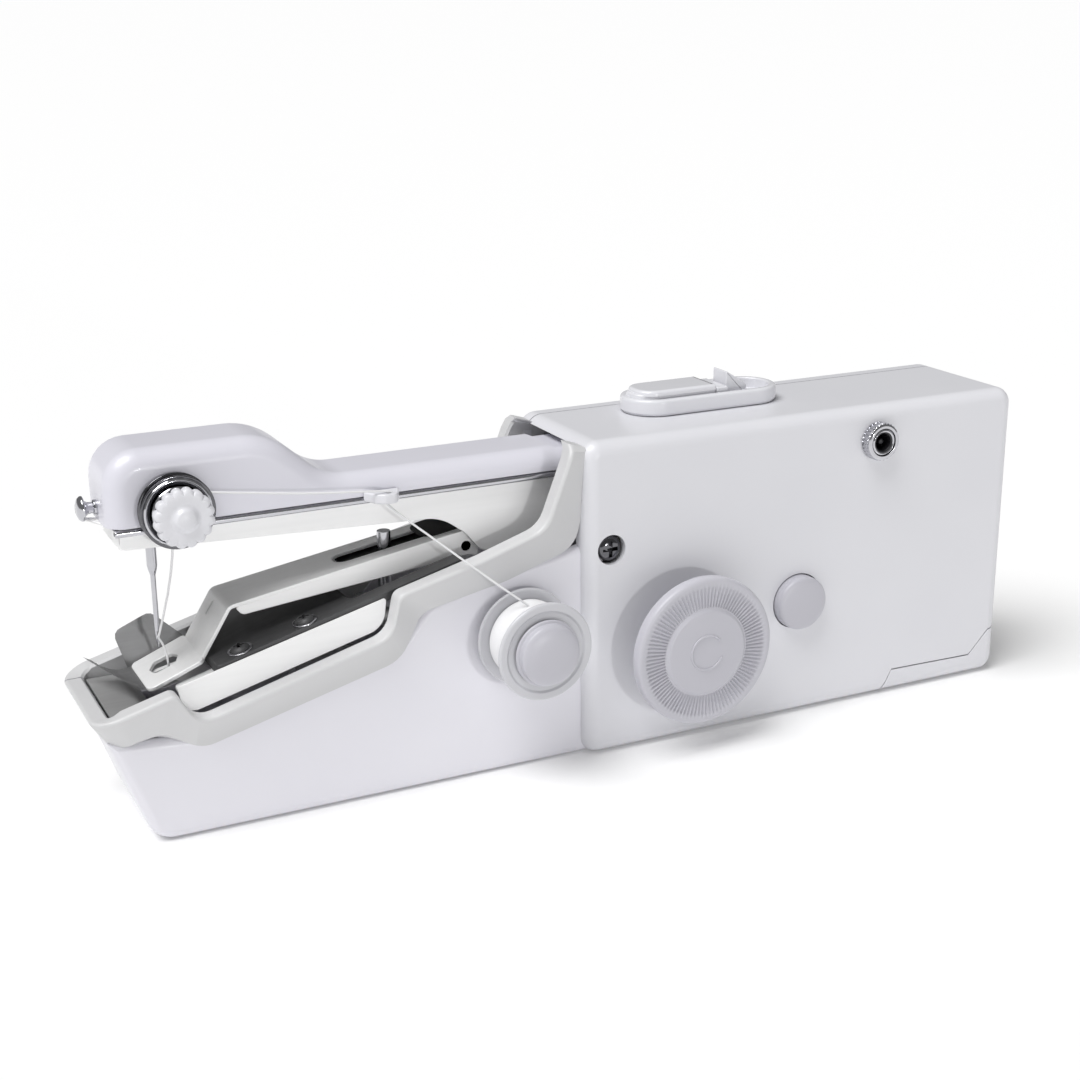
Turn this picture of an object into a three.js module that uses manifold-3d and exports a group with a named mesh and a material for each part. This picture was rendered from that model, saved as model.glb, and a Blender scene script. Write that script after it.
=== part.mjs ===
// Hand-held battery sewing machine, in millimetres.
// +X runs from the needle end to the battery end, -Y is the side with the hand wheel, +Z is up.
// The origin is on the flat base, in the middle of the thickness.
import * as THREE from 'three';
import { mergeVertices } from 'three/addons/utils/BufferGeometryUtils.js';
import Module from 'manifold-3d';

const wasm = await Module();
wasm.setup();

// ---- driving dimensions ----
const gap = 0.3;             // clear space between parts that touch
const runningFit = 0.08;     // radial clearance of a turning shaft

// housing
const boxFront = -3.2;
const boxRear = 105.6;
const boxHeight = 68;
const boxHalf = 16.6;        // half of the thickness
const boxRound = 3;
const wall = 1.8;
const seamY = 11;            // joint between the front casing and the back cover
const tubHalf = 14;          // half thickness of the lower arm below its lip
const tubRound = 2;
const noseFoot = -93.6;      // bottom front corner
const noseTop = -102.8;      // front of the rim, without the lip
const noseRound = 5;
const rimSlope = 0.27;
const rimStart = 26.7;       // rim height at the nose
const rimBend = -26;         // where the straight rim turns upwards
const lipReach = 1.6;        // how far the lip stands out at the nose
const lipHeight = 7;
const noseWall = 2.4;        // wall under the lip at the nose
const hoodFront = -5;        // front edge of the roof over the upper arm
const hoodUnder = 1.5;       // roof thickness over the mouth
const recessFront = -88;
const recessRear = -44.4;
const recessDepth = 7.6;

// battery pack
const cellRadius = 7.1;
const cellLength = 50.5;
const cellGap = 0.5;         // clear space between two cells
const cellFloor = 6.2;       // height of the lower ends
const doorFront = 73.6;
const doorSide = 5.4;        // height of the door's side flap
const doorRear = 11;         // height of the door's rear flap

// drive
const mainX = 20;
const mainZ = 23;
const toothModule = 0.8;
const mainTeeth = 40;
const idlerTeeth = 10;
const meshAngle = 50 * Math.PI / 180;
const gearWidth = 4;
const gearY = -10.5;         // outer face of the main gear
const mainShaftRadius = 2;
const crankThrow = 2.05;
const crankPinRadius = 1.1;
const crownTeeth = 36;
const crownRadius = 12;
const crownModule = 0.6;
const motorTeeth = 8;
const idlerShaftRadius = 1.2;
const motorLength = 19;
const motorHalfWidth = 10;
const motorHalfHeight = 7.6;
const wheelRadius = 16;
const wheelFace = 9.9;       // front face in front of the casing
const wheelDepth = 8;

// upper arm, with heights measured from the rail
const railZ = boxHeight - 7.4;
const armPivotX = 44;
const armPivotZ = railZ - 3.6;
const rodPinX = 8;
const rodPinZ = railZ - 6.6;
const armFront = -94.6;
const armInner = 6.6;        // half of the space between the flanges
const sheet = 0.6;           // steel sheet thickness of the arm
const coverWall = 1;
const coverRound = 3.6;      // rounding of the cover's edges
const coverFront = -96.8;
const coverRear = 12;
const coverLow = 0.6;
const coverBack = 5.1;       // height of the flat rear part above the rail
const coverHead = 14.8;      // height of the raised head above the rail
const pinRadius = 1.2;
const armPinRadius = 1.8;

// needle and thread tension
const needleX = -87.4;
const needleTip = 34;
const needleShank = 1;
const needleBlade = 0.5;
const clampScrewZ = railZ + 3.1;
const tensionX = -84.4;
const tensionZ = railZ + 3.4;
const studRadius = 1.2;
const discRadius = 7;
const knobRadius = 5.6;
const threadRadius = 0.2;

// needle plate and presser
const plateX = -73.9;        // front screw of the plate
const plateZ = 34.3;         // top of the plate at that screw
const plateFront = -79.3;
const plateRear = -28;
const plateThick = 1;
const plateHalf = 11.6;
const plateNotch = 7.8;      // half width of the notch behind the plate
const leverHalf = 6.2;
const footHalf = 7.5;
const leverSheet = 0.8;
const leverPivotX = -25.2;
const leverPivotZ = 47.2;
const slotFront = -49;
const slotRear = -33;
const slotHalf = 2.6;
const postX = -40.5;
const postRadius = 1.4;
const postTop = 51;

// looper
const looperY = 1.3;
const looperThick = 1.2;
const looperLow = 24;
const looperHigh = 27;
const looperRear = 6;

// bobbin
const bobbinX = -16.9;
const bobbinZ = 29.5;
const bobbinRadius = 10.2;
const bobbinBack = 15.2;
const bobbinWidth = 10.8;
const spindleRadius = 1.5;
const bobbinCapRadius = 6.3;

// switch, button, jack and screw
const switchFront = 16;
const switchRear = 53;
const switchY = 3;
const switchHalf = 7;
const switchHigh = 3.4;
const powerFront = 17.8;
const powerRear = 36.4;
const powerStroke = 1;
const powerRound = 4.6;
const lockX = 36.9;
const buttonX = 48.8;
const buttonZ = 26.4;
const buttonRadius = 6;
const jackX = 68;
const jackZ = boxHeight - 7.6;
const jackRadius = 4.2;
const screwX = 2.7;
const screwZ = 45.1;
const recessRadius = 3.2;
const screwRadius = 1.4;

// ---- small helpers ----
const V = (x, y, z) => new THREE.Vector3(x, y, z);
const axes = {
  x: [V(0, 1, 0), V(0, 0, 1), V(1, 0, 0)],
  y: [V(1, 0, 0), V(0, 0, 1), V(0, -1, 0)],
  z: [V(1, 0, 0), V(0, 1, 0), V(0, 0, 1)],
};

// A closed geometry as a solid, with equal vertices joined and empty triangles dropped.
function solid(geometry) {
  const bare = new THREE.BufferGeometry();
  bare.setAttribute('position', geometry.getAttribute('position'));
  bare.setIndex(geometry.getIndex());
  const merged = mergeVertices(bare, 1e-4);
  const index = merged.getIndex().array;
  const kept = [];
  for (let i = 0; i < index.length; i += 3) {
    const [a, b, c] = [index[i], index[i + 1], index[i + 2]];
    if (a !== b && b !== c && c !== a) kept.push(a, b, c);
  }
  return new wasm.Manifold(new wasm.Mesh({
    numProp: 3,
    vertProperties: new Float32Array(merged.getAttribute('position').array),
    triVerts: new Uint32Array(kept),
  }));
}

function shapeOf(outline) {
  return outline instanceof THREE.Shape ? outline
    : new THREE.Shape(outline.map(([u, v]) => new THREE.Vector2(u, v)));
}

// An outline pushed along an axis: (y,z) along x, (x,z) along y, (x,y) along z.
function prism(outline, axis, from, to, round = 0) {
  const depth = to - from - 2 * round;
  const options = { depth, bevelEnabled: round > 0, curveSegments: 5 };
  if (round > 0) {
    Object.assign(options, { bevelThickness: round, bevelSize: round, bevelOffset: -round,
      bevelSegments: 2 });
  }
  const geometry = new THREE.ExtrudeGeometry(shapeOf(outline), options);
  geometry.translate(0, 0, (axis === 'y' ? -to : from) + round);
  geometry.applyMatrix4(new THREE.Matrix4().makeBasis(...axes[axis]));
  return solid(geometry);
}

function block(x0, x1, y0, y1, z0, z1) {
  const geometry = new THREE.BoxGeometry(x1 - x0, y1 - y0, z1 - z0);
  geometry.translate((x0 + x1) / 2, (y0 + y1) / 2, (z0 + z1) / 2);
  return solid(geometry);
}

// A round bar along an axis; (u, v) are its place across that axis.
function bar(axis, u, v, radius, from, to, sides = 24, endRadius = radius) {
  const geometry = new THREE.CylinderGeometry(endRadius, radius, to - from, sides);
  if (axis === 'x') geometry.rotateZ(-Math.PI / 2).translate((from + to) / 2, u, v);
  if (axis === 'y') geometry.translate(u, (from + to) / 2, v);
  if (axis === 'z') geometry.rotateX(Math.PI / 2).translate(u, v, (from + to) / 2);
  return solid(geometry);
}

// A turned piece about a Y axis; the profile lists [radius, distance towards -Y].
function turned(profile, x, y, z, sides = 32) {
  const points = profile.map(([radius, out]) => new THREE.Vector2(radius, -out));
  const geometry = new THREE.LatheGeometry(points, sides);
  geometry.translate(x, y, z);
  return solid(geometry);
}

function tube(points, radius, steps, sides = 8) {
  const curve = new THREE.CatmullRomCurve3(points, false, 'centripetal');
  const section = new THREE.Shape();
  section.absarc(0, 0, radius, 0, 2 * Math.PI);
  const options = { steps, extrudePath: curve, curveSegments: sides / 2, bevelEnabled: false };
  return solid(new THREE.ExtrudeGeometry(section, options));
}

// The polygon moved inwards by a distance, with mitred corners (anticlockwise outline).
function inset(points, distance) {
  const count = points.length;
  return points.map((point, i) => {
    const before = points[(i + count - 1) % count];
    const after = points[(i + 1) % count];
    const a = new THREE.Vector2(point[0] - before[0], point[1] - before[1]).normalize();
    const b = new THREE.Vector2(after[0] - point[0], after[1] - point[1]).normalize();
    const across = new THREE.Vector2(-a.y - b.y, a.x + b.x).normalize();
    const reach = distance / Math.max(0.35, across.x * -a.y + across.y * a.x);
    return [point[0] + across.x * reach, point[1] + across.y * reach];
  });
}

// The outline of a bent sheet that follows a line of points, with its thickness on the left.
function bentSheet(points, thickness) {
  const side = points.map((point, i) => {
    const before = points[Math.max(0, i - 1)];
    const after = points[Math.min(points.length - 1, i + 1)];
    const a = i > 0 ? new THREE.Vector2(point[0] - before[0], point[1] - before[1]).normalize() : null;
    const b = i < points.length - 1
      ? new THREE.Vector2(after[0] - point[0], after[1] - point[1]).normalize() : null;
    const first = a ?? b;
    const second = b ?? a;
    const across = new THREE.Vector2(-first.y - second.y, first.x + second.x).normalize();
    const reach = thickness / (across.x * -first.y + across.y * first.x);
    return [point[0] + across.x * reach, point[1] + across.y * reach];
  });
  return [...points, ...side.reverse()];
}

function joined(...parts) {
  return parts.reduce((whole, part) => whole.add(part));
}

function cut(whole, ...tools) {
  return tools.reduce((rest, tool) => rest.subtract(tool), whole);
}

function roundedRectangle(x0, x1, z0, z1, radius) {
  const shape = new THREE.Shape();
  shape.moveTo(x0 + radius, z0);
  shape.lineTo(x1 - radius, z0);
  shape.absarc(x1 - radius, z0 + radius, radius, -Math.PI / 2, 0);
  shape.lineTo(x1, z1 - radius);
  shape.absarc(x1 - radius, z1 - radius, radius, 0, Math.PI / 2);
  shape.lineTo(x0 + radius, z1);
  shape.absarc(x0 + radius, z1 - radius, radius, Math.PI / 2, Math.PI);
  shape.lineTo(x0, z0 + radius);
  shape.absarc(x0 + radius, z0 + radius, radius, Math.PI, 1.5 * Math.PI);
  return shape;
}

// Involute teeth; phase turns the first tooth away from +X.
function gearShape(teeth, module, phase, backlash, addendum, dedendum) {
  const pitch = teeth * module / 2;
  const base = pitch * Math.cos(Math.PI / 9);
  const involute = (angle) => Math.tan(angle) - angle;
  const halfTooth = (radius) => Math.PI / (2 * teeth) + involute(Math.PI / 9)
    - involute(Math.acos(Math.min(1, base / radius))) - backlash / (2 * pitch);
  const root = pitch - dedendum * module;
  const tip = pitch + addendum * module;
  const radii = [root, Math.max(base, root), pitch, tip];
  const points = [];
  for (let i = 0; i < teeth; i += 1) {
    const middle = phase + 2 * Math.PI * i / teeth;
    for (const radius of radii) {
      const angle = middle - halfTooth(radius);
      points.push([radius * Math.cos(angle), radius * Math.sin(angle)]);
    }
    for (const radius of [...radii].reverse()) {
      const angle = middle + halfTooth(radius);
      points.push([radius * Math.cos(angle), radius * Math.sin(angle)]);
    }
  }
  return points;
}

const machine = new THREE.Group();

// Adds one named piece to the machine.
function piece(name, body, colour, roughness = 0.5, metalness = 0) {
  const mesh = body.getMesh();
  const geometry = new THREE.BufferGeometry();
  geometry.setAttribute('position', new THREE.BufferAttribute(new Float32Array(mesh.vertProperties), 3));
  geometry.setIndex(new THREE.BufferAttribute(new Uint32Array(mesh.triVerts), 1));
  geometry.computeVertexNormals();
  const node = new THREE.Mesh(geometry, new THREE.MeshStandardMaterial({ color: colour, roughness,
    metalness }));
  node.name = name;
  machine.add(node);
}

const white = 0xe4e4e6;
const greyWhite = 0xb6b5bb;
const steel = 0xc9cbd0;
const darkSteel = 0x4a4a4a;
const brass = 0xb99a4b;

// ---- housing ----
const rimHeight = (x) => rimStart + rimSlope * (x - noseTop);

// The upper edge of the lower arm seen from the side, from the nose to the roof.
function rimLine(withRecess) {
  const shape = new THREE.Shape();
  shape.moveTo(noseTop, rimStart);
  if (withRecess) {
    shape.lineTo(recessFront, rimHeight(recessFront));
    shape.quadraticCurveTo(recessFront + 1.6, rimHeight(recessFront) - recessDepth + 1,
      recessFront + 5, rimHeight(recessFront + 5) - recessDepth);
    shape.lineTo(recessRear - 4, rimHeight(recessRear - 4) - recessDepth);
    shape.quadraticCurveTo(recessRear - 0.6, rimHeight(recessRear) - recessDepth + 1,
      recessRear, rimHeight(recessRear));
  }
  shape.lineTo(rimBend, rimHeight(rimBend));
  const bendHeight = rimHeight(rimBend);
  shape.bezierCurveTo(rimBend + 8, bendHeight + 1.8, rimBend + 13.4, bendHeight + 3.8, rimBend + 15,
    bendHeight + 8);
  shape.lineTo(hoodFront - 1, boxHeight - hoodUnder);
  return shape.getPoints(5).map((point) => [point.x, point.y]);
}

// The side outline of the lower arm.
function tubOutline(withRecess) {
  const lean = new THREE.Vector2(noseTop - noseFoot, rimStart).normalize();
  const rim = rimLine(withRecess);
  const foot = new THREE.Shape();
  foot.moveTo(noseFoot + lean.x * noseRound, lean.y * noseRound);
  foot.quadraticCurveTo(noseFoot, 0, noseFoot + noseRound, 0);
  return [...foot.getPoints(4).map((point) => [point.x, point.y]), [boxFront + 5, 0],
    [boxFront + 5, boxHeight - hoodUnder], ...rim.reverse()];
}

function housing() {
  const box = prism(roundedRectangle(boxFront, boxRear, 0, boxHeight, boxRound + 0.5), 'y', -boxHalf,
    boxHalf, boxRound);
  const hood = block(hoodFront, boxFront + 4, -boxHalf + 2, boxHalf - 2, boxHeight - 8, boxHeight - 0.2);
  const tub = prism(tubOutline(false), 'y', -tubHalf, tubHalf, tubRound);
  const lips = [true, false].map((near) => {
    const top = rimLine(near);
    const low = top.map(([x, z]) => [x + lipHeight * rimSlope * 0.5, z - lipHeight]);
    const outline = [...low, ...top.reverse()];
    return near ? prism(outline, 'y', -boxHalf, -tubHalf + wall) : prism(outline, 'y', tubHalf - wall,
      boxHalf);
  });
  const noseLip = prism([[noseTop - lipReach, rimStart - 1.6], [noseTop + 2, rimStart - lipHeight],
    [noseTop + 6, rimStart - lipHeight], [noseTop + 6, rimHeight(noseTop + 6)],
    [noseTop - lipReach + 0.6, rimStart - 0.4]],
    'y', -boxHalf + 1.5, boxHalf - 1.5);
  const noseCorners = [-1, 1].map((side) => prism([[noseTop - 9, side * 30],
    [noseTop - 9, side * (boxHalf - 6)],
    [noseTop - lipReach, side * (boxHalf - 6)], [noseTop - lipReach + 1.2, side * (boxHalf - 3.4)],
    [noseTop + 3, side * (boxHalf - 1.2)], [noseTop + 6, side * boxHalf], [noseTop + 6, side * 30]], 'z',
    -5, 60));
  const outer = cut(joined(box, hood, tub, ...lips, noseLip), ...noseCorners);

  const roomHalf = boxHalf - wall;
  const room = block(boxFront + wall, boxRear - wall, -roomHalf, roomHalf, wall, boxHeight - wall);
  const tubRoom = prism(inset(tubOutline(false), wall), 'y', -tubHalf + wall, tubHalf - wall)
    .subtract(block(noseTop - 9, noseTop + noseWall, -20, 20, rimStart - lipHeight, 90));
  const rim = rimLine(false);
  const aboveRim = prism([...rim.map(([x, z]) => [x + noseWall, z - 4]), [boxFront + 3, boxHeight - 9],
    [boxFront + 3, boxHeight - hoodUnder],
    [hoodFront - 3, boxHeight + 6], [noseTop + noseWall, boxHeight + 6]], 'y', -tubHalf + wall,
    tubHalf - wall);
  const overRoof = block(hoodFront, boxRear, -boxHalf, boxHalf, boxHeight - hoodUnder, boxHeight + 9);
  const nearRecess = prism([...rimLine(true), [rimBend, boxHeight], [noseTop, boxHeight]],
    'y', -boxHalf - 1, -tubHalf + wall + 0.5);
  const recessRoom = nearRecess.subtract(prism([...rimLine(false), [rimBend, boxHeight],
    [noseTop, boxHeight]],
    'y', -boxHalf - 2, 0));
  return cut(outer, room, tubRoom, aboveRim.subtract(overRoof), recessRoom);
}

const doorOutline = (grow) => [[doorFront - grow, -1], [boxRear + 1, -1], [boxRear + 1, doorRear + grow],
  [boxRear - 3, doorRear - 0.6 + grow], [boxRear - 8, doorSide - 0.4 + grow],
  [doorFront + 4, doorSide + grow], [doorFront - grow, 1.8]];

function buildHousing() {
  let shell = housing();
  const bossY = boxHalf - 0.4;
  const innerY = boxHalf - wall;
  // bosses and rests inside
  const armBoss = [bar('y', armPivotX, armPivotZ, 4, -bossY, -armInner - 1.6),
    bar('y', armPivotX, armPivotZ, 4, seamY + gap, bossY)];
  const idler = idlerPlace();
  const idlerBoss = bar('y', idler.x, idler.z, 3, -bossY, gearY - gap);
  const screwBoss = [bar('y', screwX, screwZ, recessRadius + 1.2, -bossY, -9.5),
    bar('y', screwX, screwZ, screwRadius + 1.6, seamY + gap, bossY)];
  const shaftBoss = bar('y', mainX, mainZ, 5, -bossY, gearY - 1);
  const motorRest = block(motorFront() + 11, motorFront() + 17, -innerY - 0.5, 6,
    idler.z - motorHalfHeight - 3,
    idler.z - motorHalfHeight - gap);
  const pillars = plateScrews.map((x) => bar('z', x, plateScrewY, 2, wall - 0.5, plateAt(x) - 4.2, 16));
  shell = joined(shell, ...armBoss, idlerBoss, ...screwBoss, shaftBoss, motorRest, ...pillars);
  shell = cut(shell,
    bar('y', armPivotX, armPivotZ, armPinRadius + 0.1, -bossY + 1, bossY - 1),
    bar('y', idler.x, idler.z, idlerShaftRadius + 0.1, -bossY + 1, 0),
    bar('y', mainX, mainZ, mainShaftRadius + 1.2 + gap, -boxHalf - 1, 0),
    bar('y', screwX, screwZ, recessRadius, -boxHalf - 1, -boxHalf + 2.4),
    bar('y', screwX, screwZ, screwRadius + 0.2, -boxHalf - 1, boxHalf - 2.4),
    bar('y', buttonX, buttonZ, buttonRadius + gap, -boxHalf - 1, -innerY + 1, 32),
    bar('y', jackX, jackZ, jackRadius - 1, -boxHalf - 1, -innerY + 1),
    bar('y', bobbinX, bobbinZ, spindleRadius + 0.1, -boxHalf, -tubHalf + wall + 1),
    block(switchFront + 6, lockX + 9, switchY - 3, switchY + 3, boxHeight - wall - 1, boxHeight + 1),
    ...plateScrews.map((x) => bar('z', x, plateScrewY, 1.1, plateAt(x) - 11, plateAt(x) + 1, 12)));

  const frontHalf = block(-200, 200, -60, seamY, -10, 90);
  const backHalf = block(-200, 200, seamY + gap, 60, -10, 90);
  const doorCut = prism(doorOutline(gap), 'y', -60, 60);
  const body = shell.subtract(doorCut);
  piece('front_casing', body.intersect(frontHalf), white, 0.4);
  piece('back_cover', body.intersect(backHalf), white, 0.4);
  piece('battery_door', shell.intersect(prism(doorOutline(0), 'y', -60, 60)), white, 0.4);
}

// ---- needle plate line ----
const plateAt = (x) => plateZ + rimSlope * (x - plateX);
const plateScrews = [plateX, plateX + 13.2];
const plateScrewY = -9;

// A slab parallel to the needle plate, between two depths below its top.
function plateSlab(x0, x1, top, low) {
  return [[x0, plateAt(x0) + low], [x1, plateAt(x1) + low], [x1, plateAt(x1) + top],
    [x0, plateAt(x0) + top]];
}

// ---- drive train ----
function idlerPlace() {
  const distance = (mainTeeth + idlerTeeth) * toothModule / 2;
  return { x: mainX + distance * Math.cos(meshAngle), z: mainZ + distance * Math.sin(meshAngle) };
}

const motorFront = () => idlerPlace().x + crownRadius + 1;

function buildDrive() {
  const idler = idlerPlace();
  const gearBack = gearY + gearWidth;
  const bore = (radius, x, z, y0, y1) => bar('y', x, z, radius, y0, y1, 16);

  const reachX = rodPinX - mainX;
  const reachZ = rodPinZ - mainZ;
  const reach = Math.hypot(reachX, reachZ);
  const crankX = mainX + reachX * crankThrow / reach;
  const crankZ = mainZ + reachZ * crankThrow / reach;
  const mainTeethOutline = gearShape(mainTeeth, toothModule, meshAngle, 0.2, 0.6, 1.1)
    .map(([x, z]) => [x + mainX, z + mainZ]);
  const mainGear = cut(joined(prism(mainTeethOutline, 'y', gearY, gearBack),
    bar('y', crankX, crankZ, crankPinRadius, gearBack - 0.5, gearBack + 2.6, 12)),
    bore(mainShaftRadius + 0.1, mainX, mainZ, gearY - 1, gearBack - 1));
  piece('main_gear', mainGear, 0xe9e4d4, 0.5);
  piece('main_shaft', bore(mainShaftRadius, mainX, mainZ, -boxHalf - wheelFace + 3, gearBack - 1 - gap),
    steel, 0.25, 1);
  piece('shaft_bush', cut(bore(mainShaftRadius + 1.2, mainX, mainZ, -boxHalf, gearY - gap - 0.2),
    bore(mainShaftRadius + runningFit, mainX, mainZ, -boxHalf - 1, gearY)), brass, 0.4, 1);

  const wheelFront = wheelFace;
  const wheel = turned([[0, wheelFront], [wheelRadius - 6.2, wheelFront],
    [wheelRadius - 5.4, wheelFront - 0.5],
    [wheelRadius - 0.5, wheelFront - 0.5], [wheelRadius, wheelFront - 1],
    [wheelRadius, wheelFront - wheelDepth + 0.5],
    [wheelRadius - 1, wheelFront - wheelDepth], [0, wheelFront - wheelDepth]], mainX, -boxHalf, mainZ, 36);
  piece('hand_wheel', cut(wheel, bore(mainShaftRadius + 0.1, mainX, mainZ, -boxHalf - wheelFace + 2.7, 0)),
    greyWhite, 0.45);

  const crownTop = -crownModule * motorTeeth / 2 + 0.4;
  const crownRoot = crownTop - 1.1;
  const pinionOutline = gearShape(idlerTeeth, toothModule, meshAngle + Math.PI + Math.PI / idlerTeeth,
    0.2, 0.6, 1.1)
    .map(([x, z]) => [x + idler.x, z + idler.z]);
  let idlerGear = joined(prism(pinionOutline, 'y', gearY + 0.2, crownRoot - 1.9),
    bar('y', idler.x, idler.z, crownRadius, crownRoot - 2, crownRoot, 36));
  const toothBase = 0.42;
  const toothTip = 0.2;
  for (let i = 0; i < crownTeeth; i += 1) {
    const tooth = new THREE.ExtrudeGeometry(shapeOf([[-toothBase, -0.3], [toothBase, -0.3],
      [toothTip, crownTop - crownRoot], [-toothTip, crownTop - crownRoot]]),
      { depth: 2.4, bevelEnabled: false });
    tooth.applyMatrix4(new THREE.Matrix4().makeBasis(V(0, 0, -1), V(0, 1, 0), V(1, 0, 0)));
    tooth.translate(crownRadius - 2.5, crownRoot, 0);
    tooth.rotateY((i + 0.5) * 2 * Math.PI / crownTeeth);
    tooth.translate(idler.x, 0, idler.z);
    idlerGear = idlerGear.add(solid(tooth));
  }
  piece('idler_gear', idlerGear.subtract(bore(idlerShaftRadius + runningFit, idler.x, idler.z, -20, 0)),
    0xe9e4d4, 0.5);
  piece('idler_shaft', bore(idlerShaftRadius, idler.x, idler.z, -boxHalf + 1.6, crownTop + 0.4), steel,
    0.25, 1);

  // motor along X, its pinion over the crown teeth
  const front = motorFront();
  const flat = motorHalfHeight;
  const can = new THREE.Shape();
  const roundStart = Math.sqrt(motorHalfWidth ** 2 - flat ** 2);
  const corner = Math.atan2(flat, roundStart);
  can.absarc(0, idler.z, motorHalfWidth, -corner, corner);
  can.absarc(0, idler.z, motorHalfWidth, Math.PI - corner, Math.PI + corner);
  const canBody = joined(prism(can, 'x', front, front + motorLength),
    bar('x', 0, idler.z, 3, front - 0.5, front + 1, 16));
  piece('motor_can', canBody.subtract(bar('x', 0, idler.z, 1 + runningFit, front - 1,
    front + motorLength - 2, 16)),
    steel, 0.3, 1);
  piece('motor_end_cap', prism(can, 'x', front + motorLength + gap, front + motorLength + 5), 0x2b2b2e,
    0.5);
  const pinion = prism(gearShape(motorTeeth, crownModule, Math.PI, 0.3, 0.7, 1)
    .map(([y, z]) => [y, z + idler.z]), 'x', idler.x + crownRadius - 2.2, front - 0.5 - gap);
  piece('motor_pinion', joined(pinion, bar('x', 0, idler.z, 1, idler.x + crownRadius - 2.4,
    front + motorLength - 3, 16)),
    brass, 0.35, 1);

  // connecting rod, hanging from the arm down to the crank
  const rodLow = gearBack + 2.9;
  const rodHigh = rodLow + 2;
  const along = Math.atan2(crankZ - rodPinZ, crankX - rodPinX);
  const rod = new THREE.Shape();
  rod.absarc(rodPinX, rodPinZ, 3, along + Math.PI / 2, along + 1.5 * Math.PI);
  rod.absarc(crankX, crankZ, 3.4, along - Math.PI / 2, along + Math.PI / 2);
  piece('connecting_rod', cut(prism(rod, 'y', rodLow, rodHigh),
    bore(pinRadius + runningFit, rodPinX, rodPinZ, -20, 20),
    bore(crankPinRadius + 0.15, crankX, crankZ, -20, 20)), steel, 0.35, 1);
  piece('rod_pin', bore(pinRadius, rodPinX, rodPinZ, -armInner - sheet, armInner + sheet), steel, 0.25, 1);
}

// ---- upper arm ----
function flangeOutline() {
  const shape = new THREE.Shape();
  const at = (x, z) => [x, railZ + z];
  shape.moveTo(...at(armFront, -3.8));
  shape.lineTo(...at(-52.6, -5.5));
  shape.lineTo(...at(-31, -6.4));
  shape.quadraticCurveTo(...at(-27.6, -7), ...at(-25.6, -10.4));
  shape.lineTo(...at(-22, -15));
  shape.lineTo(...at(-12, -14));
  shape.lineTo(...at(0, -8.4));
  shape.lineTo(armPivotX - 6, railZ - 8.4);
  shape.absarc(armPivotX, armPivotZ, 3.8, -Math.PI / 2, Math.PI / 2);
  shape.lineTo(coverRear - coverWall - gap, armPivotZ + 3.8);
  shape.lineTo(...at(coverRear - coverWall - gap, 2.4));
  shape.lineTo(...at(armFront, 2.4));
  return shape;
}

function coverOutline() {
  const shape = new THREE.Shape();
  const at = (x, z) => [x, railZ + z];
  shape.moveTo(...at(coverFront, coverLow - 2 * coverRound));
  shape.lineTo(...at(coverRear, coverLow - 2 * coverRound));
  shape.lineTo(...at(coverRear, coverBack - 0.7));
  shape.lineTo(...at(hoodFront, coverBack - 0.7));
  shape.lineTo(...at(hoodFront - 1, coverBack));
  shape.lineTo(...at(-51, coverBack));
  shape.quadraticCurveTo(...at(-54, coverBack), ...at(-58, coverBack + 3.4));
  shape.quadraticCurveTo(...at(-65, coverHead), ...at(-70, coverHead));
  shape.lineTo(...at(-85, coverHead));
  shape.quadraticCurveTo(...at(coverFront, coverHead), ...at(coverFront, coverHead - 9));
  return shape.getPoints(5).map((point) => [point.x, point.y]);
}

function buildArm() {
  const outer = armInner + sheet;
  const flanges = [[-outer, -armInner], [armInner, outer]].map(([y0, y1]) => prism(flangeOutline(), 'y',
    y0, y1));
  const rails = [[-outer - 1.4, -outer + 0.1], [outer - 0.1, outer + 1.4]].map(([y0, y1]) =>
    block(armFront, boxFront - 3, y0, y1, railZ - 0.7, railZ + coverLow - gap));
  const top = block(-79, coverRear - coverWall - gap, -outer, outer, railZ + 1.8, railZ + 2.4);
  const front = block(armFront, armFront + sheet, -outer, outer, railZ - 3.8, railZ + 5.5);
  const gusset = prism([[armFront + 0.1, railZ - 2.7], [armFront + 0.1, railZ + 0.2],
    [armFront - 4, railZ]],
    'y', -1.5, 1.5);
  const underCover = block(-200, 200, -20, 20, railZ + coverLow - gap, railZ + 40)
    .subtract(prism(inset(coverOutline(), coverWall + gap), 'y', -outer, outer,
    coverRound - coverWall - gap));
  const frame = cut(joined(...flanges, ...rails, top, front, gusset), underCover,
    bar('y', armPivotX, armPivotZ, armPinRadius + runningFit, -20, 20),
    bar('y', rodPinX, rodPinZ, pinRadius + 0.1, -20, 20, 16),
    bar('y', tensionX, tensionZ, studRadius + 0.2, -20, 0, 16),
    bar('x', 0, clampScrewZ, 1.3, armFront - 2, armFront + 2, 16));
  piece('arm_frame', frame, steel, 0.25, 1);

  const coverInner = outer + gap;
  const outline = coverOutline();
  const inside = prism(inset(outline, coverWall), 'y', -coverInner, coverInner, coverRound - coverWall);
  const below = block(coverFront - 1, coverRear + 1, -20, 20, railZ - 20, railZ + coverLow);
  const cover = cut(prism(outline, 'y', -coverInner - coverWall, coverInner + coverWall, coverRound),
    inside, below,
    bar('y', tensionX, tensionZ, studRadius + 0.3, -20, 0, 16),
    bar('x', 0, clampScrewZ, 1.4, coverFront - 2, coverFront + 3, 16));
  piece('arm_cover', cover, white, 0.4);
  piece('arm_pivot_pin', bar('y', armPivotX, armPivotZ, armPinRadius, -boxHalf + 1.8, boxHalf - 1.8, 24),
    steel, 0.25, 1);
  return coverInner + coverWall;
}

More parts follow.
